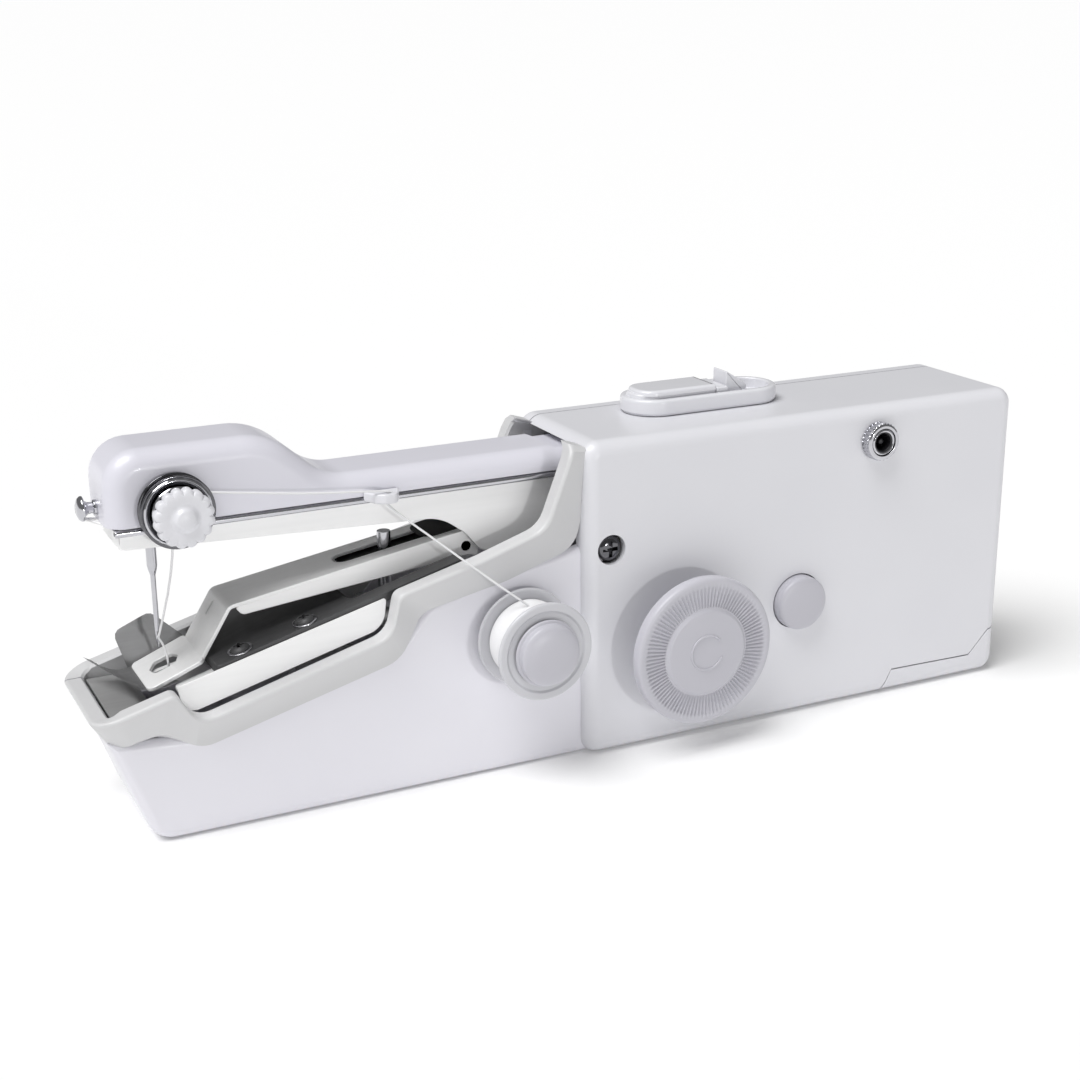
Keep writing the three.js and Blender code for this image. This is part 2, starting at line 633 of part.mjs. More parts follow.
// ---- needle, clamp and thread tension ----
function buildNeedle(armSide) {
  const clampLow = railZ - 3.4;
  const clampHigh = railZ + 4.4;
  const clamp = cut(block(needleX - 3, needleX + 3, -5.4, armInner - gap, clampLow, clampHigh),
    bar('z', needleX, 0, needleShank + 0.1, clampLow - 1, clampHigh + 1, 16),
    bar('x', 0, clampScrewZ, 1.1, needleX - 4, needleX, 16));
  piece('needle_clamp', clamp, steel, 0.3, 1);
  const eyeZ = needleTip + 3;
  const needle = cut(joined(bar('z', needleX, 0, needleShank, railZ - 9, clampHigh - 0.5, 16),
    bar('z', needleX, 0, needleBlade, needleTip + 2.5, railZ - 8.9, 12),
    bar('z', needleX, 0, 0.08, needleTip, needleTip + 2.6, 12, needleBlade)),
    block(needleX - 0.22, needleX + 0.22, -1, 1, eyeZ - 0.6, eyeZ + 0.6));
  piece('needle', needle, steel, 0.2, 1);
  const screwEnd = needleX - needleShank - gap;
  piece('needle_clamp_screw', joined(bar('x', 0, clampScrewZ, 1, coverFront - 2.6, screwEnd, 16),
    bar('x', 0, clampScrewZ, 2.4, coverFront - 3.7, coverFront - 2.4, 20)), steel, 0.3, 1);

  const side = armSide + gap;
  const disc = (y) => turned([[studRadius + 0.1, 0.4], [studRadius + 0.1, 0.9], [discRadius - 1.5, 0.9],
    [discRadius, 0.4], [discRadius, 0], [discRadius - 1.5, 0.4], [studRadius + 0.1, 0.4]],
    tensionX, y, tensionZ, 24);
  const flipped = (y) => turned([[studRadius + 0.1, 0], [studRadius + 0.1, 0.5], [discRadius - 1.5, 0.5],
    [discRadius, 0.9], [discRadius, 0.5], [discRadius - 1.5, 0], [studRadius + 0.1, 0]],
    tensionX, y, tensionZ, 24);
  piece('tension_stud', bar('y', tensionX, tensionZ, studRadius, -side - 7.1, -armInner + 0.9, 16), steel,
    0.3, 1);
  piece('tension_disc_inner', disc(-side - 0.2), steel, 0.2, 1);
  piece('tension_disc_outer', flipped(-side - 2.1), steel, 0.2, 1);
  const turns = 1.5;
  const coil = [];
  for (let i = 0; i <= turns * 10; i += 1) {
    const angle = i / 10 * 2 * Math.PI;
    coil.push(V(tensionX + 3 * Math.cos(angle), -side - 3.6 - 1.1 * i / (turns * 10),
      tensionZ + 3 * Math.sin(angle)));
  }
  piece('tension_spring', tube(coil, 0.25, turns * 12, 6), steel, 0.3, 1);
  const knob = new THREE.Shape();
  const scallops = 16;
  for (let i = 0; i <= scallops * 2; i += 1) {
    const radius = i % 2 ? knobRadius - 0.7 : knobRadius;
    const angle = i * Math.PI / scallops;
    const point = [tensionX + radius * Math.cos(angle), tensionZ + radius * Math.sin(angle)];
    if (i) knob.lineTo(...point); else knob.moveTo(...point);
  }
  const knobBack = -side - 5.2;
  piece('tension_knob', cut(joined(prism(knob, 'y', knobBack - 2.6, knobBack),
    bar('y', tensionX, tensionZ, 1, knobBack - 3.8, knobBack - 2.5, 20, 2.3)),
    bar('y', tensionX, tensionZ, studRadius + 0.1, knobBack - 2.2, knobBack + 1, 16)), white, 0.4);
  return side;
}

// ---- threads ----
function buildThreads(side) {
  const guideX = -44;
  const guideZ = railZ + 0.5;
  const guideOut = side + 4.4;
  const guide = new THREE.Shape();
  guide.moveTo(guideX - 4, -side);
  guide.lineTo(guideX - 1.6, -guideOut + 1.6);
  guide.absarc(guideX, -guideOut + 1.8, 1.8, Math.PI, 2 * Math.PI);
  guide.lineTo(guideX + 4, -side);
  const eye = bar('z', guideX, -guideOut + 1.9, 0.8, guideZ - 2, guideZ + 3, 12);
  piece('thread_guide', prism(guide, 'z', guideZ - 0.8, guideZ + 0.8).subtract(eye), white, 0.4);

  const threadColour = 0xe6e3da;
  const leave = V(bobbinX - 1.6, -21, bobbinZ + 8.5);
  const arrive = V(guideX + 0.3, -guideOut + 1.7, guideZ - 1.2);
  piece('lead_thread', tube([leave, leave.clone().lerp(arrive, 0.5).add(V(0, 0, -0.6)), arrive],
    threadRadius, 16),
    threadColour, 0.8);
  const grip = -side - 1.6;
  const wrap = studRadius + 0.9;
  const eyeY = -0.85;
  const eyeZ = needleTip + 3;
  piece('needle_thread', tube([V(guideX - 0.2, -guideOut + 1.8, guideZ + 1.15), V(-60, -12.6, railZ + 4),
    V(tensionX + 5, grip, tensionZ + wrap + 0.6), V(tensionX, grip, tensionZ + wrap),
      V(tensionX - wrap, grip, tensionZ),
    V(tensionX - wrap * 0.5, grip, tensionZ - wrap - 0.4), V(tensionX - 1.2, grip, tensionZ - 7.6),
    V(needleX + 1, -4, (railZ + eyeZ) / 2 - 2), V(needleX + 0.1, eyeY, eyeZ),
      V(needleX + 0.9, eyeY, eyeZ - 4),
    V(needleX + 1.4, eyeY, eyeZ - 9)], threadRadius, 40), threadColour, 0.8);
}

// ---- needle plate, presser and looper ----
function buildPlate() {
  const slab = prism(plateSlab(plateFront, plateRear, 0, -plateThick), 'y', -plateHalf, plateHalf);
  const notch = block(slotFront - 2, 0, -plateNotch, plateNotch, 20, 60);
  const post = bar('z', postX, 0, postRadius, looperHigh + 2, postTop, 16);
  const holes = plateScrews.map((x) => bar('z', x, plateScrewY, 1.2, plateAt(x) - 5, plateAt(x) + 5, 12));
  piece('needle_plate', cut(slab, notch, ...holes), darkSteel, 0.4, 0.8);
  plateScrews.forEach((x, i) => {
    const geometry = new THREE.CylinderGeometry(2.1, 1.9, 0.9, 20);
    geometry.translate(0, gap + 0.45, 0);
    geometry.rotateX(Math.PI / 2);
    geometry.rotateY(-Math.atan(rimSlope));
    geometry.translate(x, plateScrewY, plateAt(x));
    piece(`plate_screw_${i + 1}`, joined(solid(geometry),
      bar('z', x, plateScrewY, 0.9, plateAt(x) - 8, plateAt(x) + 0.6, 12)), 0x222224, 0.4, 0.8);
  });

  const trayTop = -2.2;
  const trayY = -tubHalf + wall + gap;
  const tray = joined(prism(plateSlab(recessFront + 1, recessRear - 2, trayTop, trayTop - 0.8), 'y',
    trayY, -plateHalf + 5),
    prism(plateSlab(recessFront + 1, recessRear - 2, trayTop, trayTop - 7), 'y', trayY, trayY + 0.6));
  piece('looper_tray', cut(tray, ...plateScrews.map((x) => bar('z', x, plateScrewY, 1.3, plateAt(x) - 9,
    plateAt(x), 12))),
    steel, 0.2, 1);

  const noseIn = noseTop + wall + 2;
  piece('nose_plate', prism(bentSheet([[noseIn, rimStart - 2.6], [noseIn + 2, rimStart - 1.6],
    [noseIn + 5, rimStart - 1.6],
    [noseIn + 8, rimStart - 3.5], [noseIn + 8.6, rimStart - 9]], 0.8), 'y', -plateHalf, plateHalf), steel,
    0.35, 1);

  // strap and tongue that carry the presser lever, with the lever's guide post
  const strapZ = 33;
  const bracket = cut(joined(block(postX - 3, leverPivotX + 5, -tubHalf + wall + gap, seamY - 0.6, strapZ,
    strapZ + 1.6),
    block(leverPivotX - 2.6, leverPivotX + 2.6, -2.4, 2.4, strapZ + 1, leverPivotZ + 1.8)),
    bar('y', leverPivotX, leverPivotZ, pinRadius + runningFit, -20, 20, 16));
  piece('lever_bracket', bracket, steel, 0.35, 1);
  piece('guide_post', cut(post, block(-60, 0, -9, 9, 0, strapZ + 1.6 + gap)), steel, 0.3, 1);
}

function buildPresser() {
  const toeX = -91.4;
  const toeZ = 28;
  const heelX = -80.2;
  const heelZ = 32.5;
  const kneeX = -74.4;
  const kneeZ = 41.8;
  const tailX = -22.4;
  const tailZ = 50.2;
  const foot = prism(bentSheet([[toeX, toeZ], [heelX, heelZ], [heelX + 0.6, heelZ + 1]], leverSheet), 'y',
    -footHalf, footHalf);
  const top = prism(bentSheet([[heelX, heelZ], [kneeX, kneeZ], [tailX, tailZ]], leverSheet), 'y',
    -leverHalf, leverHalf);
  const flangeLine = [[kneeX, kneeZ], [kneeX + 4.7, kneeZ - 1.3], [leverPivotX + 0.5, 45.4], [tailX, 44.4],
    [tailX, tailZ + 0.3]];
  const flanges = [[-leverHalf, -leverHalf + leverSheet], [leverHalf - leverSheet, leverHalf]]
    .map(([y0, y1]) => prism(flangeLine, 'y', y0, y1));
  const toe = prism(bentSheet([[toeX - 8.6, toeZ + 2.6], [toeX - 4, toeZ + 0.2], [toeX + 1, toeZ + 0.3]],
    leverSheet),
    'y', -footHalf + 1, footHalf + 1.5);
  const toeTrim = prism([[toeX - 12, footHalf + 4], [toeX - 12, -footHalf - 2], [toeX, -footHalf - 2],
    [toeX - 2, -footHalf + 1.5], [toeX - 6, -1], [toeX - 9.6, footHalf - 2]], 'z', toeZ - 3, toeZ + 8);
  const wing = prism(bentSheet([[footHalf - 1.5, 0.2], [footHalf + 0.6, 1.6], [footHalf + 2, 6.4]],
    leverSheet)
    .map(([y, z]) => [y, z + toeZ + 2.4]), 'x', toeX - 1.5, heelX + 0.5);
  const wingTrim = prism([[toeX - 4, toeZ + 12], [toeX - 4, toeZ], [toeX + 0.4, toeZ],
    [toeX - 1.2, toeZ + 5],
    [toeX + 0.6, toeZ + 8.2], [toeX + 4.5, toeZ + 9.4], [heelX - 4, toeZ + 9], [heelX + 1, heelZ + 1.5],
    [heelX + 3, heelZ], [heelX + 3, toeZ + 12]], 'y', 0, 20);
  const hole = bar('z', (toeX + heelX) / 2 - 0.3, 0, 2.9, 20, 45, 16);
  const slot = joined(block(slotFront, slotRear, -slotHalf, slotHalf, 35, 60),
    bar('z', slotFront, 0, slotHalf, 35, 60, 16), bar('z', slotRear, 0, slotHalf, 35, 60, 16));
  const lever = cut(joined(foot, top, ...flanges, toe.subtract(toeTrim), wing.subtract(wingTrim)), hole,
    slot,
    bar('y', leverPivotX, leverPivotZ, pinRadius + 0.1, -20, 20, 16));
  piece('presser_lever', lever, steel, 0.25, 1);
  piece('lever_pin', bar('y', leverPivotX, leverPivotZ, pinRadius, -leverHalf, leverHalf, 16), steel, 0.3,
    1);
  const coil = [];
  for (let i = 0; i <= 24; i += 1) {
    const angle = i / 12 * 2 * Math.PI;
    coil.push(V(leverPivotX + 2 * Math.cos(angle), 3 + 1.6 * i / 24, leverPivotZ + 2 * Math.sin(angle)));
  }
  piece('presser_spring', tube(coil, 0.35, 28, 6), steel, 0.3, 1);
}

function buildLooper() {
  const hookTip = needleX - 1.5;
  const outline = [[hookTip, looperHigh + 1.6], [hookTip + 8, looperLow + 0.6], [hookTip + 12, looperLow],
    [looperRear, looperLow], [looperRear, looperHigh], [hookTip + 12, looperHigh],
    [hookTip + 9, looperHigh + 3],
    [hookTip + 6, looperHigh + 3]];
  piece('looper_bar', prism(outline, 'y', looperY, looperY + looperThick), steel, 0.25, 1);
  const bracketX = -58;
  const floor = wall + gap;
  piece('looper_bracket', cut(joined(block(bracketX - 8, bracketX + 10, -6, 7, floor, floor + 1.4),
    block(bracketX - 2.5, bracketX + 2.5, looperY - 2, looperY + looperThick + 2, floor + 1,
      looperHigh + 2)),
    block(bracketX - 5, bracketX + 5, looperY - runningFit, looperY + looperThick + runningFit,
      looperLow - runningFit, looperHigh + runningFit)), steel, 0.35, 1);
}

// ---- bobbin ----
function buildBobbin() {
  const coreRadius = 4;
  const flange = 1;
  const front = bobbinBack + bobbinWidth;
  const bore = spindleRadius + runningFit;
  piece('bobbin_spindle', bar('y', bobbinX, bobbinZ, spindleRadius, -front - 2.2, -tubHalf + wall, 16),
    steel, 0.3, 1);
  piece('bobbin', turned([[bore, 0], [bobbinRadius, 0], [bobbinRadius, flange], [coreRadius, flange],
    [coreRadius, bobbinWidth - flange], [bobbinRadius, bobbinWidth - flange], [bobbinRadius, bobbinWidth],
    [bore, bobbinWidth], [bore, 0]].reverse(), bobbinX, -bobbinBack, bobbinZ, 28), 0xd8d8dc, 0.3);
  const wound = 8.2;
  piece('bobbin_thread', turned([[coreRadius + gap, flange + gap], [wound, flange + gap],
    [wound, bobbinWidth - flange - gap], [coreRadius + gap, bobbinWidth - flange - gap],
    [coreRadius + gap, flange + gap]].reverse(), bobbinX, -bobbinBack, bobbinZ, 24), 0xefefef, 0.8);
  const cap = turned([[0, 3], [bobbinCapRadius - 1.6, 3], [bobbinCapRadius - 0.4, 2.3],
    [bobbinCapRadius, 1.2],
    [bobbinCapRadius, 0], [0, 0]], bobbinX, -front - gap, bobbinZ, 24);
  piece('bobbin_cap', cut(cap, bar('y', bobbinX, bobbinZ, spindleRadius + 0.1, -front - 2.6, 0, 16)),
    greyWhite, 0.4);
}

// ---- switch, button, jack, screw ----
function stadium(x0, x1, half) {
  const shape = new THREE.Shape();
  shape.absarc(x1 - half, switchY, half, -Math.PI / 2, Math.PI / 2);
  shape.absarc(x0 + half, switchY, half, Math.PI / 2, 1.5 * Math.PI);
  return shape;
}

function buildControls() {
  const seat = boxHeight + gap;
  const rim = 1.2;
  const floor = seat + 1;
  const base = cut(prism(stadium(switchFront, switchRear, switchHalf), 'z', seat, seat + switchHigh),
    prism(stadium(switchFront + rim, switchRear - rim, switchHalf - rim), 'z', floor, seat + 9),
    block(switchFront + 7, lockX + 8, switchY - 2.4, switchY + 2.4, seat - 1, seat + 2));
  piece('switch_base', base, white, 0.4);
  const half = switchHalf - rim - 0.7;
  const low = floor + powerStroke + gap;
  const stem = block(switchFront + 10, switchFront + 16, switchY - 1.6, switchY + 1.6, boxHeight - 1,
    low + 0.5);
  const power = new THREE.Shape();
  power.moveTo(powerRear, switchY + half);
  power.absarc(powerFront + powerRound, switchY + half - powerRound, powerRound, Math.PI / 2, Math.PI);
  power.absarc(powerFront + powerRound, switchY - half + powerRound, powerRound, Math.PI, 1.5 * Math.PI);
  power.lineTo(powerRear, switchY - half);
  piece('power_button', joined(prism(power, 'z', low, boxHeight + 5.2), stem), white, 0.4);
  const lockLow = floor + 0.1;
  piece('switch_lock', joined(prism([[lockX, lockLow], [lockX + 7.3, lockLow], [lockX + 7.3, lockLow + 1.6],
    [lockX + 6.6, lockLow + 2], [lockX, boxHeight + 7.4]], 'y', switchY - 3, switchY + 3),
    block(lockX + 0.6, lockX + 1.8, switchY - 1.6, switchY + 1.6, boxHeight - 1, lockLow + 0.4)), white,
      0.4);
  piece('switch_contacts', block(switchFront + 8, switchFront + 22, switchY - 4, switchY + 4,
    boxHeight - wall - 4.2, boxHeight - wall - gap - powerStroke), 0x2b2b2e, 0.5);

  const inner = boxHalf - wall;
  const button = turned([[0, 3], [buttonRadius - 1.6, 2.8], [buttonRadius - 0.4, 2.3], [buttonRadius, 1.6],
    [buttonRadius, -1.7], [buttonRadius + 0.9, -2.1], [buttonRadius + 0.9, -3], [0, -3]], buttonX,
    -boxHalf, buttonZ, 24);
  piece('side_button', button, greyWhite, 0.4);
  const coil = [];
  for (let i = 0; i <= 30; i += 1) {
    const angle = i / 10 * 2 * Math.PI;
    coil.push(V(buttonX + 3 * Math.cos(angle), -boxHalf + 4.9 + 3.4 * i / 30,
      buttonZ + 3 * Math.sin(angle)));
  }
  piece('button_spring', tube(coil, 0.3, 34, 6), steel, 0.3, 1);

  const jackOut = -boxHalf - 2.6;
  piece('dc_jack', cut(joined(bar('y', jackX, jackZ, jackRadius - 1.3, jackOut, -inner + 0.5, 24),
    block(jackX - 4, jackX + 4, -inner + gap, -inner + 9, jackZ - 4, jackZ + 4)),
    bar('y', jackX, jackZ, 1.92, jackOut - 1, -inner + 6, 20)), 0x26262a, 0.4, 0.3);
  piece('jack_nut', turned([[jackRadius - 1.2, 0], [jackRadius, 0], [jackRadius, 2.2],
    [jackRadius - 0.4, 2.8],
    [jackRadius - 1.2, 2.8], [jackRadius - 1.2, 0]].reverse(), jackX, -boxHalf - gap / 2, jackZ, 32),
    steel, 0.3, 1);

  piece('casing_screw', joined(bar('y', screwX, screwZ, 2.6, -boxHalf + 0.5, -boxHalf + 2.1, 20),
    bar('y', screwX, screwZ, screwRadius, -boxHalf + 2, boxHalf - 3, 12)), 0x8a8a8c, 0.35, 1);
}

// ---- batteries ----
function buildBatteries() {
  const rearRow = boxRear - wall - gap - cellRadius;
  const cellPitch = 2 * cellRadius + cellGap;
  const rows = [rearRow - cellPitch, rearRow];
  const columns = [-cellPitch / 2, cellPitch / 2];
  const top = cellFloor + cellLength;
  let number = 1;
  const strip = { x0: rows[0] - 5, x1: rows[1] + 5, y0: columns[0] - 5, y1: columns[1] + 5 };
  let springs = block(strip.x0, strip.x1, strip.y0, strip.y1, wall + gap, wall + gap + 0.6);
  for (const x of rows) {
    for (const y of columns) {
      const cell = joined(bar('z', x, y, cellRadius, cellFloor, top - 1, 24),
        bar('z', x, y, 2.6, top - 1.1, top, 16));
      piece(`battery_${number}`, cell, 0x3d6b8c, 0.3);
      springs = springs.add(bar('z', x, y, 3.6, wall + gap + 0.5, cellFloor - gap, 12, 1.8));
      number += 1;
    }
  }
  piece('contact_strip_low', springs, steel, 0.3, 1);
  piece('contact_strip_high', block(strip.x0, strip.x1, strip.y0, strip.y1, top + gap, top + gap + 0.8),
    steel, 0.3, 1);
}

buildHousing();
buildDrive();
const armSide = buildArm();
const tensionSide = buildNeedle(armSide);
buildThreads(tensionSide);
buildPlate();
buildPresser();
buildLooper();
buildBobbin();
buildControls();
buildBatteries();

export default machine;
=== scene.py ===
import math

import bmesh
import bpy
from mathutils import Matrix, Vector


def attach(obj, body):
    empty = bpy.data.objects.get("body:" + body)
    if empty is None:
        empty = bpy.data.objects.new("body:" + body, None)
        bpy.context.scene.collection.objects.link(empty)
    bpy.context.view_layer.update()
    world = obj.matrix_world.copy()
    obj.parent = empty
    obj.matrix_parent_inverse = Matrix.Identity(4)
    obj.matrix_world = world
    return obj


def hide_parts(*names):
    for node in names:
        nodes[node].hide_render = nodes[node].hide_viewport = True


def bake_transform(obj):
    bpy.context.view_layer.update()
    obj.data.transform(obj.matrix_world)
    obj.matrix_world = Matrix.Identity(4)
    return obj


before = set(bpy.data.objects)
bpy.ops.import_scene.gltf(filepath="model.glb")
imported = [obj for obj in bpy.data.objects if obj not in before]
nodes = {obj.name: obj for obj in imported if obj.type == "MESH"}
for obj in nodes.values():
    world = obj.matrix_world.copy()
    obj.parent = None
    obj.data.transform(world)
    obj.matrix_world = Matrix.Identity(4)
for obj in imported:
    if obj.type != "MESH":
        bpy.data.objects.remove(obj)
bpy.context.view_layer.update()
mm = 0.001
print("frame loaded")


# Colours and material nodes

def hexColour(text):
    parts = [int(text[i:i + 2], 16) / 255 for i in (1, 3, 5)]
    return tuple(c / 12.92 if c <= 0.04045 else ((c + 0.055) / 1.055) ** 2.4 for c in parts) + (1.0,)


def addNode(tree, kind, inputs, **settings):
    node = tree.nodes.new(kind)
    for key, value in settings.items():
        setattr(node, key, value)
    for socket, value in inputs.items():
        if isinstance(value, bpy.types.NodeSocket):
            tree.links.new(value, node.inputs[socket])
        else:
            node.inputs[socket].default_value = value
    return node


def startMaterial(name, roughness, metallic=0.0, ior=1.5):
    material = bpy.data.materials.new(name)
    material.use_nodes = True
    tree = material.node_tree
    shader = tree.nodes["Principled BSDF"]
    shader.inputs["Roughness"].default_value = roughness
    shader.inputs["Metallic"].default_value = metallic
    if not metallic:
        shader.inputs["IOR"].default_value = ior
    return material, tree, shader


# Moulded plastics: a broad faint mottle in the colour and a fine grain from the spark-eroded mould
def mouldedPlastic(name, colour, shade, roughness, grain=0.5, bump=0.03, ior=1.52, coat=0.0):
    material, tree, shader = startMaterial(name, roughness, ior=ior)
    place = addNode(tree, "ShaderNodeTexCoord", {})
    cloud = addNode(tree, "ShaderNodeTexNoise", {"Vector": place.outputs["Object"], "Scale": 1 / (28 * mm),
                                                 "Detail": 2.0})
    tint = addNode(tree, "ShaderNodeMix", {"Factor": cloud.outputs["Fac"], "A": hexColour(colour),
                                           "B": hexColour(shade)}, data_type="RGBA")
    tree.links.new(tint.outputs["Result"], shader.inputs["Base Color"])
    pits = addNode(tree, "ShaderNodeTexNoise", {"Vector": place.outputs["Object"], "Scale": 1 / (grain * mm),
                                                "Detail": 3.0})
    spread = addNode(tree, "ShaderNodeMapRange", {"Value": pits.outputs["Fac"], "To Min": roughness - 0.05,
                                                  "To Max": roughness + 0.05})
    tree.links.new(spread.outputs["Result"], shader.inputs["Roughness"])
    relief = addNode(tree, "ShaderNodeBump", {"Height": pits.outputs["Fac"], "Strength": bump,
                                              "Distance": 0.05 * mm})
    tree.links.new(relief.outputs["Normal"], shader.inputs["Normal"])
    shader.inputs["Coat Weight"].default_value = coat
    return material


# Metals: long fine scratches along one direction, which streak the reflections
def brushedMetal(name, colour, shade, roughness, along=(1, 30, 30), stroke=1.2, bump=0.05, metallic=1.0):
    material, tree, shader = startMaterial(name, roughness, metallic=metallic)
    place = addNode(tree, "ShaderNodeTexCoord", {})
    stretch = addNode(tree, "ShaderNodeMapping", {"Vector": place.outputs["Object"], "Scale": along})
    lines = addNode(tree, "ShaderNodeTexNoise",
                    {"Vector": stretch.outputs["Vector"], "Scale": 1 / (stroke * 30 * mm),
                                                 "Detail": 4.0})
    tint = addNode(tree, "ShaderNodeMix", {"Factor": lines.outputs["Fac"], "A": hexColour(colour),
                                           "B": hexColour(shade)}, data_type="RGBA")
    tree.links.new(tint.outputs["Result"], shader.inputs["Base Color"])
    spread = addNode(tree, "ShaderNodeMapRange", {"Value": lines.outputs["Fac"], "To Min": roughness - 0.06,
                                                  "To Max": roughness + 0.06})
    tree.links.new(spread.outputs["Result"], shader.inputs["Roughness"])
    relief = addNode(tree, "ShaderNodeBump", {"Height": lines.outputs["Fac"], "Strength": bump,
                                              "Distance": 0.02 * mm})
    tree.links.new(relief.outputs["Normal"], shader.inputs["Normal"])
    return material


whiteAbs = mouldedPlastic("white moulded ABS", "#E3E3E7", "#DDDDE2", 0.36, coat=0.15)  # satin body
paleAbs = mouldedPlastic("lavender white moulded ABS", "#E1E0E8", "#DAD9E2", 0.34, coat=0.15)  # cooler cover
greyAbs = mouldedPlastic("pale grey moulded ABS", "#C4C3CA", "#BCBBC3", 0.38)  # a step darker than the body
blackAbs = mouldedPlastic("black moulded ABS", "#1C1C1F", "#242428", 0.45)  # dark socket
nylon = mouldedPlastic("ivory gear nylon", "#E9E4D4", "#E0DAC6", 0.5)  # warm, dull gears
# bright, soft streaks
nickelSteel = brushedMetal("satin nickel plated sheet steel", "#FBFBFB", "#F1F1F1", 0.34, metallic=0.2)
polishedSteel = brushedMetal("polished steel", "#CFCFD3", "#BEBEC3", 0.14)  # sharp glints
# dark grey, still catches light
blackSteel = brushedMetal("blackened sheet steel", "#545455", "#484849", 0.5, metallic=0.4)
smokedChrome = brushedMetal("dark chrome plating", "#77777A", "#5F5F63", 0.12)  # dark mirror
turnedBrass = brushedMetal("turned brass", "#C2A65A", "#B3964A", 0.28)  # yellow glint
cellWrap = mouldedPlastic("printed cell sleeve", "#3F6C8E", "#355F80", 0.3)  # blue sleeve
polyesterThread = mouldedPlastic("white polyester thread", "#F4F4F5", "#DEDEE0", 0.8)  # dull white
frostedStyrene = mouldedPlastic("frosted clear styrene", "#D2D2D6", "#C6C6CB", 0.3, coat=0.2)  # milky flanges
# glossier than the body
switchAbs = mouldedPlastic("white glossy switch ABS", "#E8E8EC", "#E0E0E5", 0.24, coat=0.3)
shadedLeafSteel = brushedMetal("foot leaf steel greyed as painted shade", "#A9A9AA", "#979798", 0.36, metallic=0.4)  # mid grey leaf, painted shade on the foot's turned-up sheet
shadeBlack = mouldedPlastic("matt black painted shade", "#0B0B0C", "#101011", 0.7)  # painted shade, reads as a gap
# grey nose plate
brushedZinc = brushedMetal("brushed zinc plated sheet", "#BDBDBD", "#ABABAB", 0.3, metallic=0.5)
shadedRimAbs = mouldedPlastic("rim of the lower arm in ABS greyed as painted shade", "#D6D6D7", "#CFCFD0", 0.4)  # greyer rim band, painted shade
# lighter, cooler arm: a lightened copy of the body plastic, painted light
litArmAbs = mouldedPlastic("lower arm in lavender white ABS lightened as painted light", "#EAE9EF", "#E3E2E9", 0.34, coat=0.15)
print("materials made")

looks = {
    whiteAbs: "front_casing back_cover battery_door switch_base power_button switch_lock tension_knob thread_guide",
    paleAbs: "arm_cover",
    greyAbs: "hand_wheel bobbin_cap side_button",
    frostedStyrene: "bobbin",
    blackAbs: "motor_end_cap switch_contacts dc_jack",
    nylon: "main_gear idler_gear",
    nickelSteel: "arm_frame looper_tray nose_plate lever_bracket presser_lever looper_bar looper_bracket "
                 "connecting_rod contact_strip_low contact_strip_high motor_can needle_clamp",
    polishedSteel: "main_shaft idler_shaft rod_pin arm_pivot_pin needle needle_clamp_screw tension_stud "
                   "tension_spring guide_post lever_pin presser_spring bobbin_spindle button_spring jack_nut",
    smokedChrome: "tension_disc_inner tension_disc_outer casing_screw",
    blackSteel: "needle_plate plate_screw_1 plate_screw_2",
    turnedBrass: "motor_pinion shaft_bush",
    polyesterThread: "bobbin_thread lead_thread needle_thread",
    cellWrap: "battery_1 battery_2 battery_3 battery_4",
}
for material, names in looks.items():
    for name in names.split():
        nodes[name].data.materials.clear()
        nodes[name].data.materials.append(material)

# Camera at the viewing angle, then the light
view = {"place": (-157.47, -312.83, 155.40), "lens": 57.8,
        "right": (0.898349, -0.439209, -0.008004), "down": (-0.141118, -0.271290, -0.952096)}


def placeCamera():
    data = bpy.data.cameras.new("camera")
    data.lens = view["lens"]
    data.sensor_width = 36
    data.clip_start = 0.01
    data.clip_end = 50
    camera = bpy.data.objects.new("camera", data)
    right = Vector(view["right"])
    up = -Vector(view["down"])
    back = right.cross(up)
    turn = Matrix((right, up, back)).transposed().to_4x4()
    camera.matrix_world = Matrix.Translation(Vector(view["place"]) * mm) @ turn
    bpy.context.scene.collection.objects.link(camera)
    bpy.context.scene.camera = camera


def addSun(name, towards, strength, spread, colour="#FFFFFF"):
    data = bpy.data.lights.new(name, "SUN")
    data.energy = strength
    data.angle = math.radians(spread)
    data.color = hexColour(colour)[:3]
    lamp = bpy.data.objects.new(name, data)
    lamp.rotation_euler = Vector(towards).to_track_quat("-Z", "Y").to_euler()
    bpy.context.scene.collection.objects.link(lamp)


placeCamera()
addSun("front lamp", (-0.15, 1.0, -0.03), 0.5, 4)
addSun("left softbox", (0.45, 0.12, -0.9), 2.85, 40)
world = bpy.data.worlds.new("studio")
world.use_nodes = True
world.node_tree.nodes["Background"].inputs["Color"].default_value = (1, 1, 1, 1)
world.node_tree.nodes["Background"].inputs["Strength"].default_value = 0.2
bpy.context.scene.world = world
bpy.context.scene.view_settings.view_transform = "Standard"

floorMesh = bpy.data.meshes.new("floor")
floorReach = 60.0  # metres each way
floorMesh.from_pydata([(-floorReach, -floorReach, 0), (floorReach, -floorReach, 0),
                       (floorReach, floorReach, 0), (-floorReach, floorReach, 0)], [], [(0, 1, 2, 3)])
floor = bpy.data.objects.new("floor", floorMesh)
floor.location.z = -0.0002
bpy.context.scene.collection.objects.link(floor)
paper, paperTree, paperShader = startMaterial("white backdrop paper", 0.9)
paperShader.inputs["Base Color"].default_value = hexColour("#F4F4F4")
paperShader.inputs["Specular IOR Level"].default_value = 0.1
paperShader.inputs["Emission Color"].default_value = (1, 1, 1, 1)
paperShader.inputs["Emission Strength"].default_value = 0.1
floor.data.materials.append(paper)
print("camera and light placed")


# Shapes: outlines are in millimetres, corners are (u, v, radius)

